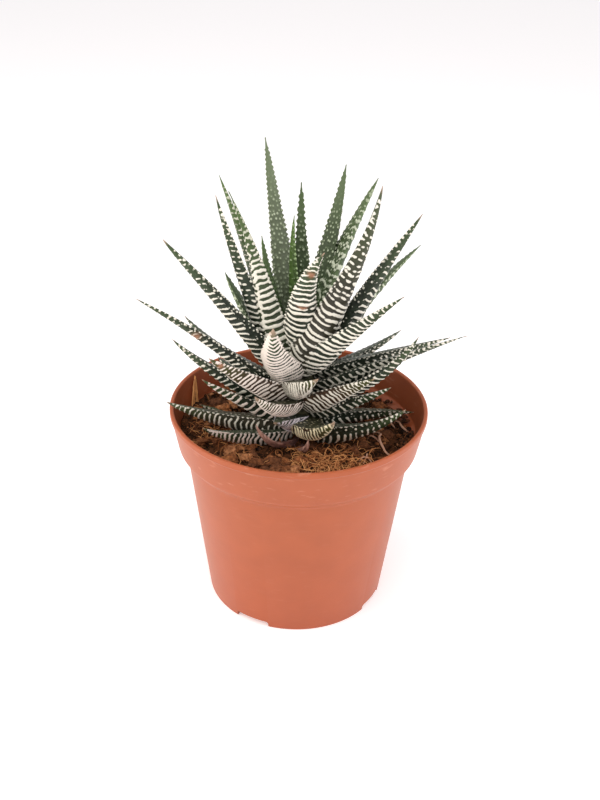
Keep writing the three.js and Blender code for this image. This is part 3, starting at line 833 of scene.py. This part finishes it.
def bark_material(settings):
    """Bark chips, each with its own shade of brown"""
    material, tree, shader = new_material("bark_chips")
    shades = tree.nodes.new("ShaderNodeValToRGB")
    feed(tree, shades.inputs["Fac"], attribute(tree, "shade"))
    ramp = shades.color_ramp
    ramp.elements[0].color = rgba((0.022, 0.010, 0.006))
    ramp.elements[1].color = rgba((0.56, 0.25, 0.11))
    middle = ramp.elements.new(0.45)
    middle.color = rgba((0.19, 0.070, 0.028))
    warm = ramp.elements.new(0.75)
    warm.color = rgba(settings.bark_colour, 1.15)
    grain = add_group(
        tree, mottle_group(), Colour_A=rgba((1, 1, 1)), Colour_B=rgba((0.35, 0.30, 0.28)), Scale=900.0,
        Low=0.40, High=0.70)
    colour = mix_colour(tree, 0.85, shades.outputs["Color"], grain.outputs["Colour"], "MULTIPLY")
    dress(tree, shader, colour, 0.85, 0.2, bumped(tree, grain.outputs["Mask"], 0.8, 0.0005))
    return material


def chip(rng, at, size, shade, detail):
    """One rough bark chip at a place on the soil"""
    bm = bmesh.new()
    layer = bm.verts.layers.float.new("shade")
    made = bmesh.ops.create_icosphere(bm, subdivisions=detail, radius=1)["verts"]
    stretch = Vector((size, size * rng.uniform(0.5, 0.9), size * rng.uniform(0.3, 0.65)))
    offset = Vector((rng.uniform(0, 90), rng.uniform(0, 90), rng.uniform(0, 90)))
    spin = Matrix.Rotation(rng.uniform(0, math.tau), 3, "Z")
    turn = spin @ Matrix.Rotation(rng.uniform(-0.5, 0.5), 3, "X")
    for v in made:
        rough = 1 + 0.5 * noise.noise(v.co * 1.4 + offset) + 0.3 * noise.noise(v.co * 3.6 + offset)
        flat = Vector((v.co.x * stretch.x, v.co.y * stretch.y, v.co.z * stretch.z))
        v.co = at + turn @ (flat * rough)
        v[layer] = clamp(shade + 0.16 * noise.noise(v.co * 0.9))
    return bm


def chips_mesh(settings):
    """Bark chips, large ones at the front left and small ones all over"""
    rng = random.Random(CHIP_SEED)
    parts = []
    for count, bearings, raised in CHIP_PATCHES:
        for _ in range(count):
            size = rng.uniform(1.6, 3.6)
            radius = min(rng.uniform(24, 43), wall_radius(SOIL_LEVEL) - size)
            at = direction(rng.uniform(*bearings)) * radius
            at.z = soil_height(at.x, at.y) + raised * size
            parts.append(chip(rng, at, size, rng.uniform(0.25, 0.95), 4))
    # Crumbs over the ledge at the right wall; their dark shades are partly painted shade
    for _ in range(LEDGE_CRUMBS):
        size = rng.uniform(0.6, 1.5)
        radius = rng.uniform(42.5, 48.2 - size)
        at = direction(rng.uniform(*LEDGE_CRUMB_BEARINGS)) * radius
        past = radius + size - BODY_TOP_RADIUS + WALL
        slope = clamp(past / (COLLAR_BOTTOM_RADIUS - BODY_TOP_RADIUS))
        at.z = max(soil_height(at.x, at.y), LEDGE + slope * LEDGE_RISE) + 0.5 * size
        parts.append(chip(rng, at, size, rng.uniform(0.0, 0.45), 2))
    for _ in range(settings.chips):
        radius = 9 + 37 * math.sqrt(rng.random())
        size = 0.35 + 1.3 * rng.random() ** 2
        at = direction(rng.uniform(0, 360)) * min(radius, wall_radius(SOIL_LEVEL) - size)
        at.z = soil_height(at.x, at.y) + 0.5 * max(0, soil_bump(at.x, at.y)) + 0.3 * size
        parts.append(chip(rng, at, size, rng.random(), 2))
    return gathered(parts)


def thread(points, radius, sides, shade):
    """A round thread through points, thinning to both ends"""
    bm = bmesh.new()
    layer = bm.verts.layers.float.new("shade")
    place = bm.verts.layers.int.new("place")
    ring = bmesh.ops.create_circle(bm, segments=sides, radius=1, cap_ends=False)["verts"]
    edges = list({e for v in ring for e in v.link_edges})
    ends = list(edges)
    for k, v in enumerate(ring):
        v[place] = k
        v[layer] = shade
    last = len(points) - 1
    for i, point in enumerate(points):
        if i:
            made = bmesh.ops.extrude_edge_only(bm, edges=edges)["geom"]
            ring = [g for g in made if isinstance(g, bmesh.types.BMVert)]
            edges = [g for g in made if isinstance(g, bmesh.types.BMEdge) and g.is_boundary]
        ahead = (points[min(i + 1, last)] - points[max(i - 1, 0)]).normalized()
        side = ahead.cross(Vector((0.13, 0.29, 1.0))).normalized()
        up = side.cross(ahead)
        girth = radius * (0.35 + 0.65 * math.sin(math.pi * (0.06 + 0.88 * i / last)))
        for v in ring:
            a = math.tau * v[place] / sides
            v.co = point + girth * (math.cos(a) * side + math.sin(a) * up)
    bmesh.ops.holes_fill(bm, edges=ends + edges, sides=0)
    return bm


def on_soil(x, y, lift):
    return Vector((x, y, soil_height(x, y) + lift))


def wander(rng, start, count, stride, high):
    """Points of a fibre that wanders over the soil and comes down to it at both ends"""
    x, y = start
    heading = rng.uniform(0, math.tau)
    bend = rng.uniform(-0.55, 0.55)
    points = []
    for j in range(count):
        if math.hypot(x, y) > wall_radius(SOIL_LEVEL) - 1.2:
            break
        lift = 0.3 + high * math.sin(math.pi * j / (count - 1)) + 0.3 * rng.random()
        points.append(on_soil(x, y, lift))
        heading += bend + rng.uniform(-0.35, 0.35)
        x += stride * math.cos(heading)
        y += stride * math.sin(heading)
    return points


def coir_mesh(settings):
    """Fine coir fibres, matted at the right front, and strands on the left wall"""
    rng = random.Random(COIR_SEED)
    strands = []
    for share, bearing, spread, near, far in COIR_PATCHES:
        for _ in range(round(settings.fibres * share)):
            at = direction(rng.gauss(bearing, spread)) * rng.uniform(near, far)
            count, stride, high = rng.randint(7, 13), rng.uniform(0.5, 1.1), rng.uniform(0.2, 2.4)
            points = wander(rng, (at.x, at.y), count, stride, high)
            if len(points) > 4:
                strands.append(thread(points, rng.uniform(0.07, 0.19), 4, rng.random()))
    for k in range(WALL_STRANDS):
        aside = rng.uniform(-3.5, 4.5)
        top = rng.uniform(0.7, 1.0)
        points = []
        for j in range(11):
            rise = top * j / 10
            z = SOIL_LEVEL + WALL_STRAND_RISE * rise
            lean = WALL_STRAND_LEAN * rise + aside * (1 - 0.85 * rise)
            drift = 0.5 + abs(0.6 * noise.noise(Vector((k * 3.1, j * 0.5, 0))))
            out = direction(WALL_STRAND_BEARING + lean)
            points.append(out * (wall_radius(z) - drift) + Vector((0, 0, z)))
        strands.append(thread(points, rng.uniform(0.15, 0.36), 5, rng.uniform(0.6, 1.0)))
    return gathered(strands)


def roots_mesh():
    """The curled roots at the right front"""
    rng = random.Random(ROOT_SEED)
    roots = []
    for girth, high, line in ROOT_LOOPS:
        count = ROOT_STEPS * (len(line) - 1)
        points = []
        for k in range(count + 1):
            t = k / ROOT_STEPS
            i = min(int(t), len(line) - 2)
            before, after = line[max(i - 1, 0)], line[min(i + 2, len(line) - 1)]
            x, y = (
                catmull(before[n], line[i][n], line[i + 1][n], after[n], t - i) for n in (0, 1))
            lift = high * math.sin(math.pi * (k / count) ** 0.65) - 0.3 + 0.1 * rng.random()
            points.append(on_soil(x, y, lift))
        roots.append(thread(points, girth, 7, 0.8))
    return gathered(roots)


def catmull(a, b, c, d, t):
    """A smooth curve's value between b and c, where t runs from 0 to 1"""
    return b + 0.5 * t * (c - a + t * (2 * a - 5 * b + 4 * c - d + t * (3 * (b - c) + d - a)))


def fibre_material(name, dark, pale):
    """Dry fibre, each thread between a dark and a pale tan"""
    material, tree, shader = new_material(name)
    colour = mix_colour(tree, attribute(tree, "shade"), rgba(dark), rgba(pale))
    dress(tree, shader, colour, 0.8, 0.2)
    return material


class HAWORTHIA_OT_soil(bpy.types.Operator):
    """Fills the pot with soil, bark chips, coir fibres and curled roots"""

    bl_idname = "haworthia.soil"
    bl_label = "Soil"

    def execute(self, context):
        settings = context.scene.haworthia_soil
        bark = bark_material(settings)
        finish_piece("soil_body", soil_mesh(), soil_material(settings), ["soil"])
        finish_piece("bark_chips", chips_mesh(settings), bark)
        coir = fibre_material("coir", (0.28, 0.082, 0.024), (0.88, 0.42, 0.16))
        finish_piece("coir_fibres", coir_mesh(settings), coir)
        root = fibre_material("root_skin", (0.30, 0.14, 0.09), (0.70, 0.40, 0.27))
        finish_piece("curled_roots", roots_mesh(), root)
        return {"FINISHED"}


# Leaves

def leaf_taper(s, name=""):
    """Relative width of a leaf along its length, 1 at its widest"""
    if s < WIDEST_AT:
        return BASE_WIDTH + (1 - BASE_WIDTH) * math.sin(math.pi / 2 * s / WIDEST_AT)
    return max(0.0, 1 - (s - WIDEST_AT) / (1 - WIDEST_AT)) ** OWN_TAPERS.get(name, WIDTH_TAPER)


def leaf_line(leaf, steps):
    """The middle line of a leaf: point, heading and across at even steps"""
    crowding = clamp((STEM_TOP + 1 - leaf.height) / 10, 0.25, 1)
    point = direction(leaf.foot) * FOOT_DISTANCE * crowding
    point.z = leaf.height
    line = []
    for i in range(steps + 1):
        bend = (i / steps) ** 1.5
        bearing = leaf.bearing + leaf.sway * bend
        heading = direction(bearing, leaf.rise + leaf.curl * bend)
        lean = math.radians(-ROSETTE_LEAN * math.sin(math.radians(bearing)))
        across = Matrix.Rotation(lean, 3, heading) @ direction(bearing + 90)
        line.append((point.copy(), heading, across))
        point += heading * leaf.length / steps
    return line


def leaf_section():
    """Unit section: across, out, outward direction and side (0 back, 1 face)"""
    section = []
    for k in range(BACK_POINTS + 1):
        x = -math.cos(math.pi * k / BACK_POINTS)
        y = -((1 - abs(x) ** 1.7) ** 0.62) if abs(x) < 1 else 0.0
        out = Vector((x, 1.3 * y)).normalized()
        section.append((x, y, out, 0))
    for k in range(1, FACE_POINTS + 1):
        x = math.cos(math.pi * k / FACE_POINTS)
        out = Vector((0, 1)) if k < FACE_POINTS else Vector((-1, 0))
        section.append((x, 1 - x * x, out, 1 if k < FACE_POINTS else 0))
    return section


class Bands:
    """The raised bands of one leaf: a field that rises by 1 a millimetre, 0.5 on their edges"""

    def __init__(self, leaf, look, seed):
        rng = random.Random(seed)
        self.leaf = leaf
        self.look = look
        self.seed = seed
        self.fold = FOLDS.get(leaf.name, Fold(0.0, look.arch, look.arch))
        self.merging = SIDES.get(leaf.name, NO_SIDE)
        self.tooth = rng.uniform(1.8, 2.4)
        self.start = rng.random()
        self.beads = [[rng.uniform(0.38, 0.72) for _ in range(80)] for _ in range(2)]
        self.cache = {}

    def strokes(self, k):
        """What a band is broken into: ends across the back, shift along it and half width"""
        if k in self.cache:
            return self.cache[k]
        look = self.look
        rng = random.Random(self.seed * 1000 + k)
        s = clamp((k - self.start) * look.period / self.leaf.length)
        girth = max(0.65 * self.leaf.width * leaf_taper(s, self.leaf.name), 0.6)
        fill = 0.5 * look.share * look.period * (1 - 0.3 * smooth(0.4, 1.0, s))
        dotty = s > look.dotted + rng.uniform(-0.1, 0.1)
        stroke = 0.6 if dotty else look.stroke
        at = -look.reach * rng.uniform(0.82, 1.04)
        right = look.reach * rng.uniform(0.82, 1.04)
        made = []
        while at < right:
            high = min(at + stroke * rng.uniform(0.3, 1.7) / girth, right)
            half = fill * rng.uniform(0.8, 1.2)
            made.append((at, high, look.scatter * rng.uniform(-0.5, 0.5), half))
            at = high + (2 * half + rng.uniform(0.3, 0.8)) / girth
        self.cache[k] = made
        return made

    def cleared(self, arc):
        """How far the bands are gone at a place across the back, from 0 to 1"""
        line, side, closing = self.merging
        return smooth(-0.15, 0.25, side * (arc - line)) if closing < 0 else 0.0

    def at(self, along, arc, girth):
        """Field at a distance along the leaf and across its back from -1 to 1"""
        look = self.look
        s = along / self.leaf.length
        reach = abs(arc)
        wave = 0.9 * noise.noise(Vector((along * 0.13, arc * 1.6, self.seed * 7.3)))
        wave += 0.4 * noise.noise(Vector((along * 0.4, arc * 4.5, self.seed * 3.1)))
        centre, left, right, shifted, steep = self.fold
        aside = abs(arc - centre)
        rise = (right if arc > centre else left) * girth / 7 * aside ** look.power
        rise *= steep + 2 * (1 - steep) * s
        q = self.start + (along * (0.87 + 0.15 * s) - rise + wave) / look.period
        q += shifted * smooth(0.06, -0.06, arc - centre)
        near = round(q)
        dist = 9.0
        for k in (near - 1, near, near + 1) if look.scatter > 0.2 else (near,):
            fat = 1 + 0.4 * noise.noise(Vector((arc * girth * 0.35, k * 1.7, self.seed * 2.1)))
            for low, high, shift, half in self.strokes(k):
                beyond = max(low - arc, arc - high, 0.0) * girth
                away = abs(q - k - shift) * look.period
                dist = min(dist, math.hypot(beyond, away) - half * fat)
        line, side, closing = self.merging
        dist -= closing * smooth(-0.15, 0.25, side * (arc - line))
        if look.keel:
            keel = look.keel * (0.45 + 1.6 * noise.noise(Vector((along * 0.6, 0, self.seed))))
            keel *= smooth(0.0, 0.5 * look.keel, s) * (1 - smooth(0.55, 0.78, s))
            dist = min(dist, aside * girth - keel if keel > 0.1 else dist)
        side = 1 if arc > 0 else 0
        tooth = along / self.tooth + 0.37 * side
        off = abs(tooth - round(tooth)) * self.tooth
        bead = self.beads[side][round(tooth) % 80]
        dist = min(dist, math.hypot(0.8 * (1 - reach) * girth, off) - bead)
        return clamp(0.5 - dist - 1.5 * smooth(0.93, 1.0, s))


def leaf_mesh(leaf, look, seed, band_height):
    """A closed leaf with raised bands, and what its skin needs at each point"""
    section = leaf_section()
    steps = max(24, round(leaf.length / SECTION_SPACING))
    line = leaf_line(leaf, steps)
    bands = Bands(leaf, look, seed)
    bm = bmesh.new()
    columns = len(section)
    layers = bm.verts.layers
    for label in ("band", "face", "along", "margin", "stain"):
        layers.float.new(label)
    layers.float_vector.new("skin")
    band, face, along, margin, stain = (
        layers.float[label] for label in ("band", "face", "along", "margin", "stain"))
    spots = STAINS.get(leaf.name, ())
    skin = layers.float_vector["skin"]
    verts = bmesh.ops.create_grid(
        bm, x_segments=columns - 1, y_segments=steps, size=1)["verts"]
    for i in range(steps + 1):
        s = i / steps
        length = s * leaf.length
        point, heading, across = line[i]
        front = heading.cross(across).normalized()
        taper = leaf_taper(s, leaf.name)
        lean = 0.05 * noise.noise(Vector((length * 0.07, 0, seed * 3.1)))
        half = max(leaf.width / 2 * taper * (1 + lean), THINNEST / 2)
        depth = max(leaf.width * BACK_DEPTH * taper ** 0.9, THINNEST / 2)
        bulge = 0.045 * leaf.width * taper
        if i == steps:
            half = depth = bulge = 0.0
        rise = band_height * (0.35 + 0.65 * taper)
        for k in range(columns):
            x, y, out, side = section[k]
            vert = verts[i * columns + k]
            arc = 2 * k / BACK_POINTS - 1
            if side == 0:
                mark = bands.at(length, arc if k <= BACK_POINTS else -1.0, 1.3 * half)
            elif leaf.name in FACE_BANDED:
                mark = bands.at(length, x, 2 * half)
            else:
                mark = 0.0
            lift = rise * smooth(0.2, 0.9, mark) if i < steps else 0.0
            if side == 0:
                lift *= 1 + 1.7 * smooth(0.85, 1.0, abs(arc))
            thick = depth if side == 0 else bulge
            vert.co = (
                point
                + across * (x * half + out.x * lift)
                + front * (y * thick + out.y * lift))
            vert[band] = mark
            vert[face] = side
            vert[along] = s
            vert[stain] = sum(
                math.exp(-((s - high) / size) ** 2 - ((arc - aside) / (0.2 + 10 * size)) ** 2)
                for high, aside, size in spots)
            bare = smooth(look.reach * 0.93, look.reach + 0.1, abs(arc))
            vert[margin] = max(bare, bands.cleared(arc)) if side == 0 else 1.0
            vert[skin] = Vector((arc * 1.3 * half if side == 0 else x * half, length, seed * 13.7))
    bmesh.ops.remove_doubles(bm, verts=bm.verts, dist=0.0002)
    bmesh.ops.holes_fill(bm, edges=[e for e in bm.edges if e.is_boundary], sides=0)
    bmesh.ops.recalc_face_normals(bm, faces=bm.faces)
    return bm


def tubercle_group():
    """Where a leaf's skin is white: its bands, and dots on its face and beside its margins.
    Hollow is the dip between the dots, which is lowered and carries a painted shade
    """
    name = "tubercles"
    if name in bpy.data.node_groups:
        return bpy.data.node_groups[name]
    tree, given, result = group_tree(
        name, [("Dots", "NodeSocketFloat", 1.0)],
        [("White", "NodeSocketFloat"), ("Dot", "NodeSocketFloat"), ("Hollow", "NodeSocketFloat")])
    band = attribute(tree, "band")
    along = attribute(tree, "along")
    margin = attribute(tree, "margin")
    skin = attribute(tree, "skin", "Vector")
    rough = noise_value(tree, skin, 1.5, 3)
    wavy = math_node(tree, "ADD", band, math_node(tree, "MULTIPLY", rough, 0.36))
    white = remap(tree, wavy, 0.60, 0.80)
    cells = tree.nodes.new("ShaderNodeTexVoronoi")
    cells.voronoi_dimensions = "2D"
    cells.inputs["Scale"].default_value = 1.0
    cells.inputs["Randomness"].default_value = 0.7
    feed(tree, cells.inputs["Vector"], stretched(tree, skin, (0.62, 0.52, 1.0)))
    split = tree.nodes.new("ShaderNodeSeparateColor")
    feed(tree, split.inputs["Color"], cells.outputs["Color"])
    size = math_node(tree, "ADD", math_node(tree, "MULTIPLY", split.outputs["Green"], 0.20), 0.07)
    dot = remap(tree, math_node(tree, "SUBTRACT", size, cells.outputs["Distance"]), -0.06, 0.06)
    kept = math_node(tree, "LESS_THAN", split.outputs["Red"], given.outputs["Dots"])
    fade = remap(tree, along, 0.6, 0.88, 1.0, 0.0)
    area = math_node(tree, "MULTIPLY", fade, remap(tree, margin, 0.3, 0.8))
    shown = math_node(tree, "MULTIPLY", math_node(tree, "MULTIPLY", dot, kept), area)
    # The hollows between the dots: a lower bump, and the mask of the painted shade there
    hollow = math_node(tree, "MULTIPLY", remap(tree, cells.outputs["Distance"], 0.22, 0.5), area)
    for label, value in (("White", white), ("Dot", shown), ("Hollow", hollow)):
        feed(tree, result.inputs[label], value)
    return tree


def leaf_material(name, look, settings):
    """Leaf skin: green, with raised pale bands and dots, stains and a drier tip, with painted
    shade at its foot and in the hollows between its dots
    """
    material, tree, shader = new_material(name)
    marks = add_group(tree, tubercle_group(), Dots=look.dots)
    skin = attribute(tree, "skin", "Vector")
    along = attribute(tree, "along")
    face = attribute(tree, "face")
    green = Vector(GREENS[look.green]) * settings.green
    fresh = Vector(GREENS["fresh"]) * settings.green
    white = Vector(WHITES[look.white]) * settings.white
    upper = look.green in ("mid", "lively", "bright", "fresh", "grey")
    patches = noise_value(tree, skin, 0.35, 4)
    base = mix_colour(tree, remap(tree, patches, 0.35, 0.7), rgba(green, 0.75), rgba(green, 1.35))
    tip_green = green.lerp(fresh, 0.62 if upper else 0.3)
    base = mix_colour(tree, remap(tree, along, 0.45, 0.95), base, rgba(tip_green))
    inner = green.lerp(Vector(FACE_GREEN), 0.55)
    base = mix_colour(tree, remap(tree, face, 0.5, 1.0, 0.0, 0.8), base, rgba(inner))
    # Painted shade in the hollows between the dots
    hollow = math_node(tree, "MULTIPLY", marks.outputs["Hollow"], 0.55)
    base = mix_colour(tree, hollow, base, rgba(green, 0.35))
    # Painted shade at the leaf's foot, deep in the rosette: the green darkens there
    foot = remap(tree, along, 0.0, 0.2, 0.6, 0.0)
    base = mix_colour(tree, foot, base, rgba(FOOT_SHADE_GREEN))
    worn = noise_value(tree, skin, 0.9, 5)
    dull = white.lerp(Vector(WORN_WHITE), 0.6)
    cream = mix_colour(tree, remap(tree, worn, 0.5, 0.85, 0.0, 0.5), rgba(white), rgba(dull))
    # Painted shade at the foot: the bands darken there too
    cream = mix_colour(tree, remap(tree, along, 0.0, 0.25, 0.5, 0.0), cream, rgba(white, 0.4))
    if upper:
        mossy = white.lerp(fresh, 0.55)
        cream = mix_colour(tree, remap(tree, along, 0.6, 0.95), cream, rgba(mossy))
    colour = mix_colour(tree, marks.outputs["White"], base, cream)
    dot_colour = mix_colour(tree, 0.35 if upper else 0.1, rgba(white), rgba(fresh))
    colour = mix_colour(tree, marks.outputs["Dot"], colour, dot_colour)
    stain = math_node(tree, "MULTIPLY", attribute(tree, "stain"), 1.2, clamped=True)
    colour = mix_colour(tree, stain, colour, rgba(STAIN_BROWN))
    if not upper:
        tip = 0.88 if look.slot == "leaf_pale" else 0.955
        colour = mix_colour(tree, remap(tree, along, tip, 1.0), colour, rgba(DRY_TIP))
    rough = remap(tree, marks.outputs["White"], 0.0, 1.0, 0.40, 0.60)
    pores = noise_value(tree, skin, 9.0, 2)
    raised = math_node(tree, "MAXIMUM", marks.outputs["White"], marks.outputs["Dot"])
    raised = math_node(tree, "SUBTRACT", raised, marks.outputs["Hollow"])
    height = math_node(tree, "ADD", raised, math_node(tree, "MULTIPLY", pores, 0.12))
    dress(tree, shader, colour, rough, 0.3, bumped(tree, height, 0.5))
    return material


class HAWORTHIA_OT_leaves(bpy.types.Operator):
    """Grows the fifty leaves with their raised white bands"""

    bl_idname = "haworthia.leaves"
    bl_label = "Leaves"

    def execute(self, context):
        settings = context.scene.haworthia_leaf
        materials = {}
        for style, look in LOOKS.items():
            materials[style] = leaf_material(f"leaf_{style}", look, settings)
        for seed, leaf in enumerate(LEAVES, start=FIRST_LEAF_SEED):
            look = LOOKS[leaf.look]
            bm = leaf_mesh(leaf, look, seed, settings.band_height / MM)
            finish_piece(
                f"banded_{leaf.name}", bm, materials[leaf.look], [f"leaf_{leaf.name}"])
        return {"FINISHED"}


# Dry leaves and stem

def dry_leaf_mesh(leaf, seed):
    """A shrivelled leaf: folded, creased and thin"""
    section = leaf_section()
    steps = DRY_LEAF_STEPS
    line = leaf_line(leaf, steps)
    columns = len(section)
    bm = bmesh.new()
    bm.verts.layers.float.new("along")
    bm.verts.layers.float_vector.new("skin")
    along = bm.verts.layers.float["along"]
    skin = bm.verts.layers.float_vector["skin"]
    verts = bmesh.ops.create_grid(bm, x_segments=columns - 1, y_segments=steps, size=1)["verts"]
    for i in range(steps + 1):
        s = i / steps
        point, heading, across = line[i]
        front = heading.cross(across).normalized()
        taper = leaf_taper(s) if i < steps else 0.0
        half = leaf.width / 2 * taper
        depth = leaf.width * BACK_DEPTH * 0.8 * taper
        for k in range(columns):
            x, y, out, side = section[k]
            crease = 1.3 * noise.noise(Vector((x * 2.6, s * 3.0, seed * 5.3))) * taper
            crease += 0.7 * noise.noise(Vector((x * 7.0, s * 5.0, seed * 2.3))) * taper
            thick = depth if side == 0 else -0.35 * depth
            vert = verts[i * columns + k]
            vert.co = point + across * x * half + front * (y * thick + crease)
            vert[along] = s
            vert[skin] = Vector((x * half, s * leaf.length, seed))
    bmesh.ops.remove_doubles(bm, verts=bm.verts, dist=0.0002)
    bmesh.ops.holes_fill(bm, edges=[e for e in bm.edges if e.is_boundary], sides=0)
    bmesh.ops.recalc_face_normals(bm, faces=bm.faces)
    return bm


def dry_leaf_material():
    """Papery brown skin with pinkish patches and lengthwise wrinkles, with painted shade
    towards its foot, and a paler tip that is partly its own pink and partly a painted highlight
    """
    material, tree, shader = new_material("dry_leaf")
    skin = attribute(tree, "skin", "Vector")
    lines = noise_value(tree, stretched(tree, skin, (2.4, 0.35, 1.0)), 1.0, 5)
    patches = noise_value(tree, skin, 0.3, 3)
    base = mix_colour(
        tree, remap(tree, patches, 0.4, 0.62), rgba((0.20, 0.080, 0.064)), rgba((0.48, 0.25, 0.20)))
    base = mix_colour(tree, remap(tree, lines, 0.45, 0.62, 0.0, 0.7), base, rgba((0.13, 0.055, 0.045)))
    along = attribute(tree, "along")
    # Painted shade: the skin darkens towards the foot
    base = mix_colour(tree, remap(tree, along, 0.1, 0.55, 0.7, 0.0), base, rgba((0.05, 0.022, 0.020)))
    # Paler towards the tip: partly the leaf's own pink, partly a painted highlight along the wrinkles
    smoothed = remap(tree, lines, 0.35, 0.55, 1.0, 0.3)
    pale = math_node(tree, "MULTIPLY", remap(tree, along, 0.35, 0.9), smoothed)
    base = mix_colour(tree, pale, base, rgba((0.66, 0.40, 0.31)))
    dress(tree, shader, base, 0.75, normal=bumped(tree, lines, 0.8))
    return material


def stem_material():
    """Dull olive skin between the leaf bases"""
    material, tree, shader = new_material("stem_skin")
    mottle = add_group(
        tree, mottle_group(), Colour_A=rgba((0.045, 0.043, 0.020)), Colour_B=rgba((0.13, 0.12, 0.06)),
        Scale=500.0, Low=0.35, High=0.7)
    bumps = bumped(tree, mottle.outputs["Mask"], 0.5)
    dress(tree, shader, mottle.outputs["Colour"], 0.7, normal=bumps)
    return material


def stem_mesh():
    """The short stem with the scars of its old leaves, ending in the bud"""
    r = STEM_RADIUS
    outline = [
        (0, STEM_BOTTOM, 0), (r - 1.6, STEM_BOTTOM, 0.5), (r - 0.4, STEM_BOTTOM + 8, 1),
        (r, STEM_BOTTOM + 22, 2), (r - 0.4, STEM_BOTTOM + 38, 2), (r - 2, STEM_BOTTOM + 47, 2),
        (r - 4, STEM_TOP - 5, 1), (0, STEM_TOP, 0)]
    bm = spun(rounded(outline), 40)
    top = [e for e in bm.edges if abs(e.verts[0].co.z - e.verts[1].co.z) > 6]
    bmesh.ops.subdivide_edges(bm, edges=top, cuts=9, use_grid_fill=True)
    for v in bm.verts:
        scar = 0.3 * math.cos(v.co.z * 2.3) + 0.35 * noise.noise(v.co * 0.6)
        out = Vector((v.co.x, v.co.y, 0))
        if out.length > 1.5:
            v.co += out.normalized() * min(scar, 0)
    return bm


class HAWORTHIA_OT_stem(bpy.types.Operator):
    """Makes the stem and the dry leaves at its foot"""

    bl_idname = "haworthia.stem"
    bl_label = "Stem and dry leaves"

    def execute(self, context):
        finish_piece("stem_and_bud", stem_mesh(), stem_material(), ["stem"])
        dry = dry_leaf_material()
        for seed, leaf in enumerate(DRY_LEAVES, start=FIRST_DRY_LEAF_SEED):
            finish_piece(
                f"dried_{leaf.name}", dry_leaf_mesh(leaf, seed), dry,
                [f"dry_leaf_{leaf.name}"])
        return {"FINISHED"}


# Stage

def area_light(name, at, size, power, colour):
    """A soft square light that faces the plant"""
    data = bpy.data.lights.new(name, "AREA")
    data.color = colour
    data.energy = power
    data.shape = "SQUARE"
    data.size = size
    lamp = bpy.data.objects.new(name, data)
    lamp.location = at
    lamp.rotation_euler = (Vector(LIGHTS_AIM) - Vector(at)).to_track_quat("-Z", "Y").to_euler()
    bpy.context.scene.collection.objects.link(lamp)


class HAWORTHIA_OT_stage(bpy.types.Operator):
    """Sets the pale floor, the soft lights and the camera"""

    bl_idname = "haworthia.stage"
    bl_label = "Stage"

    def execute(self, context):
        settings = context.scene.haworthia_stage
        bm = bmesh.new()
        bmesh.ops.create_grid(bm, x_segments=1, y_segments=1, size=HALF_FLOOR)
        mesh = bpy.data.meshes.new("floor")
        bm.to_mesh(mesh)
        bm.free()
        floor = bpy.data.objects.new("floor", mesh)
        material, tree, shader = new_material("pale_floor")
        shader.inputs["Base Color"].default_value = (0.93, 0.92, 0.92, 1)
        shader.inputs["Roughness"].default_value = 0.9
        shader.inputs["Emission Color"].default_value = (1, 0.96, 0.97, 1)
        shader.inputs["Emission Strength"].default_value = 0.34
        mesh.materials.append(material)
        context.scene.collection.objects.link(floor)
        world = bpy.data.worlds.new("studio")
        world.use_nodes = True
        sky = world.node_tree.nodes["Background"]
        sky.inputs["Color"].default_value = (1.0, 0.985, 0.99, 1)
        sky.inputs["Strength"].default_value = 0.60
        context.scene.world = world
        context.scene.view_settings.view_transform = "Standard"
        for name, (at, size, power, colour) in LIGHTS.items():
            area_light(name, at, size, power, colour)
        data = bpy.data.cameras.new("camera")
        data.sensor_fit = "VERTICAL"
        data.sensor_height = 36
        data.lens = settings.lens
        camera = bpy.data.objects.new("camera", data)
        back = Vector((0, -math.cos(settings.elevation), math.sin(settings.elevation)))
        camera.location = Vector(CAMERA_AIM) + back * settings.distance
        look = (-back).to_track_quat("-Z", "Y").to_matrix()
        camera.rotation_euler = (look @ Matrix.Rotation(settings.roll, 3, "Z")).to_euler()
        context.scene.collection.objects.link(camera)
        context.scene.camera = camera
        return {"FINISHED"}


class HAWORTHIA_PT_panel(bpy.types.Panel):
    """Lists the settings and the steps of the plant"""

    bl_label = "Haworthia"
    bl_idname = "HAWORTHIA_PT_panel"
    bl_space_type = "VIEW_3D"
    bl_region_type = "UI"
    bl_category = "Haworthia"

    def draw(self, context):
        layout = self.layout
        for group in ("haworthia_pot", "haworthia_leaf", "haworthia_soil", "haworthia_stage"):
            settings = getattr(context.scene, group)
            for name in settings.__annotations__:
                layout.prop(settings, name)
        for step in STEPS:
            layout.operator(step.bl_idname)


STEPS = (
    HAWORTHIA_OT_stage, HAWORTHIA_OT_pot, HAWORTHIA_OT_soil, HAWORTHIA_OT_stem, HAWORTHIA_OT_leaves)
GROUPS = {
    "haworthia_pot": HaworthiaPotSettings,
    "haworthia_leaf": HaworthiaLeafSettings,
    "haworthia_soil": HaworthiaSoilSettings,
    "haworthia_stage": HaworthiaStageSettings,
}


def register():
    for cls in (*GROUPS.values(), *STEPS, HAWORTHIA_PT_panel):
        bpy.utils.register_class(cls)
    for name, cls in GROUPS.items():
        setattr(bpy.types.Scene, name, PointerProperty(type=cls))


def unregister():
    for name in GROUPS:
        delattr(bpy.types.Scene, name)
    for cls in reversed((*GROUPS.values(), *STEPS, HAWORTHIA_PT_panel)):
        bpy.utils.unregister_class(cls)


def main():
    register()
    bpy.ops.haworthia.stage()
    bpy.ops.haworthia.pot()
    bpy.ops.haworthia.soil()
    bpy.ops.haworthia.stem()
    bpy.ops.haworthia.leaves()


if __name__ == "__main__":
    main()
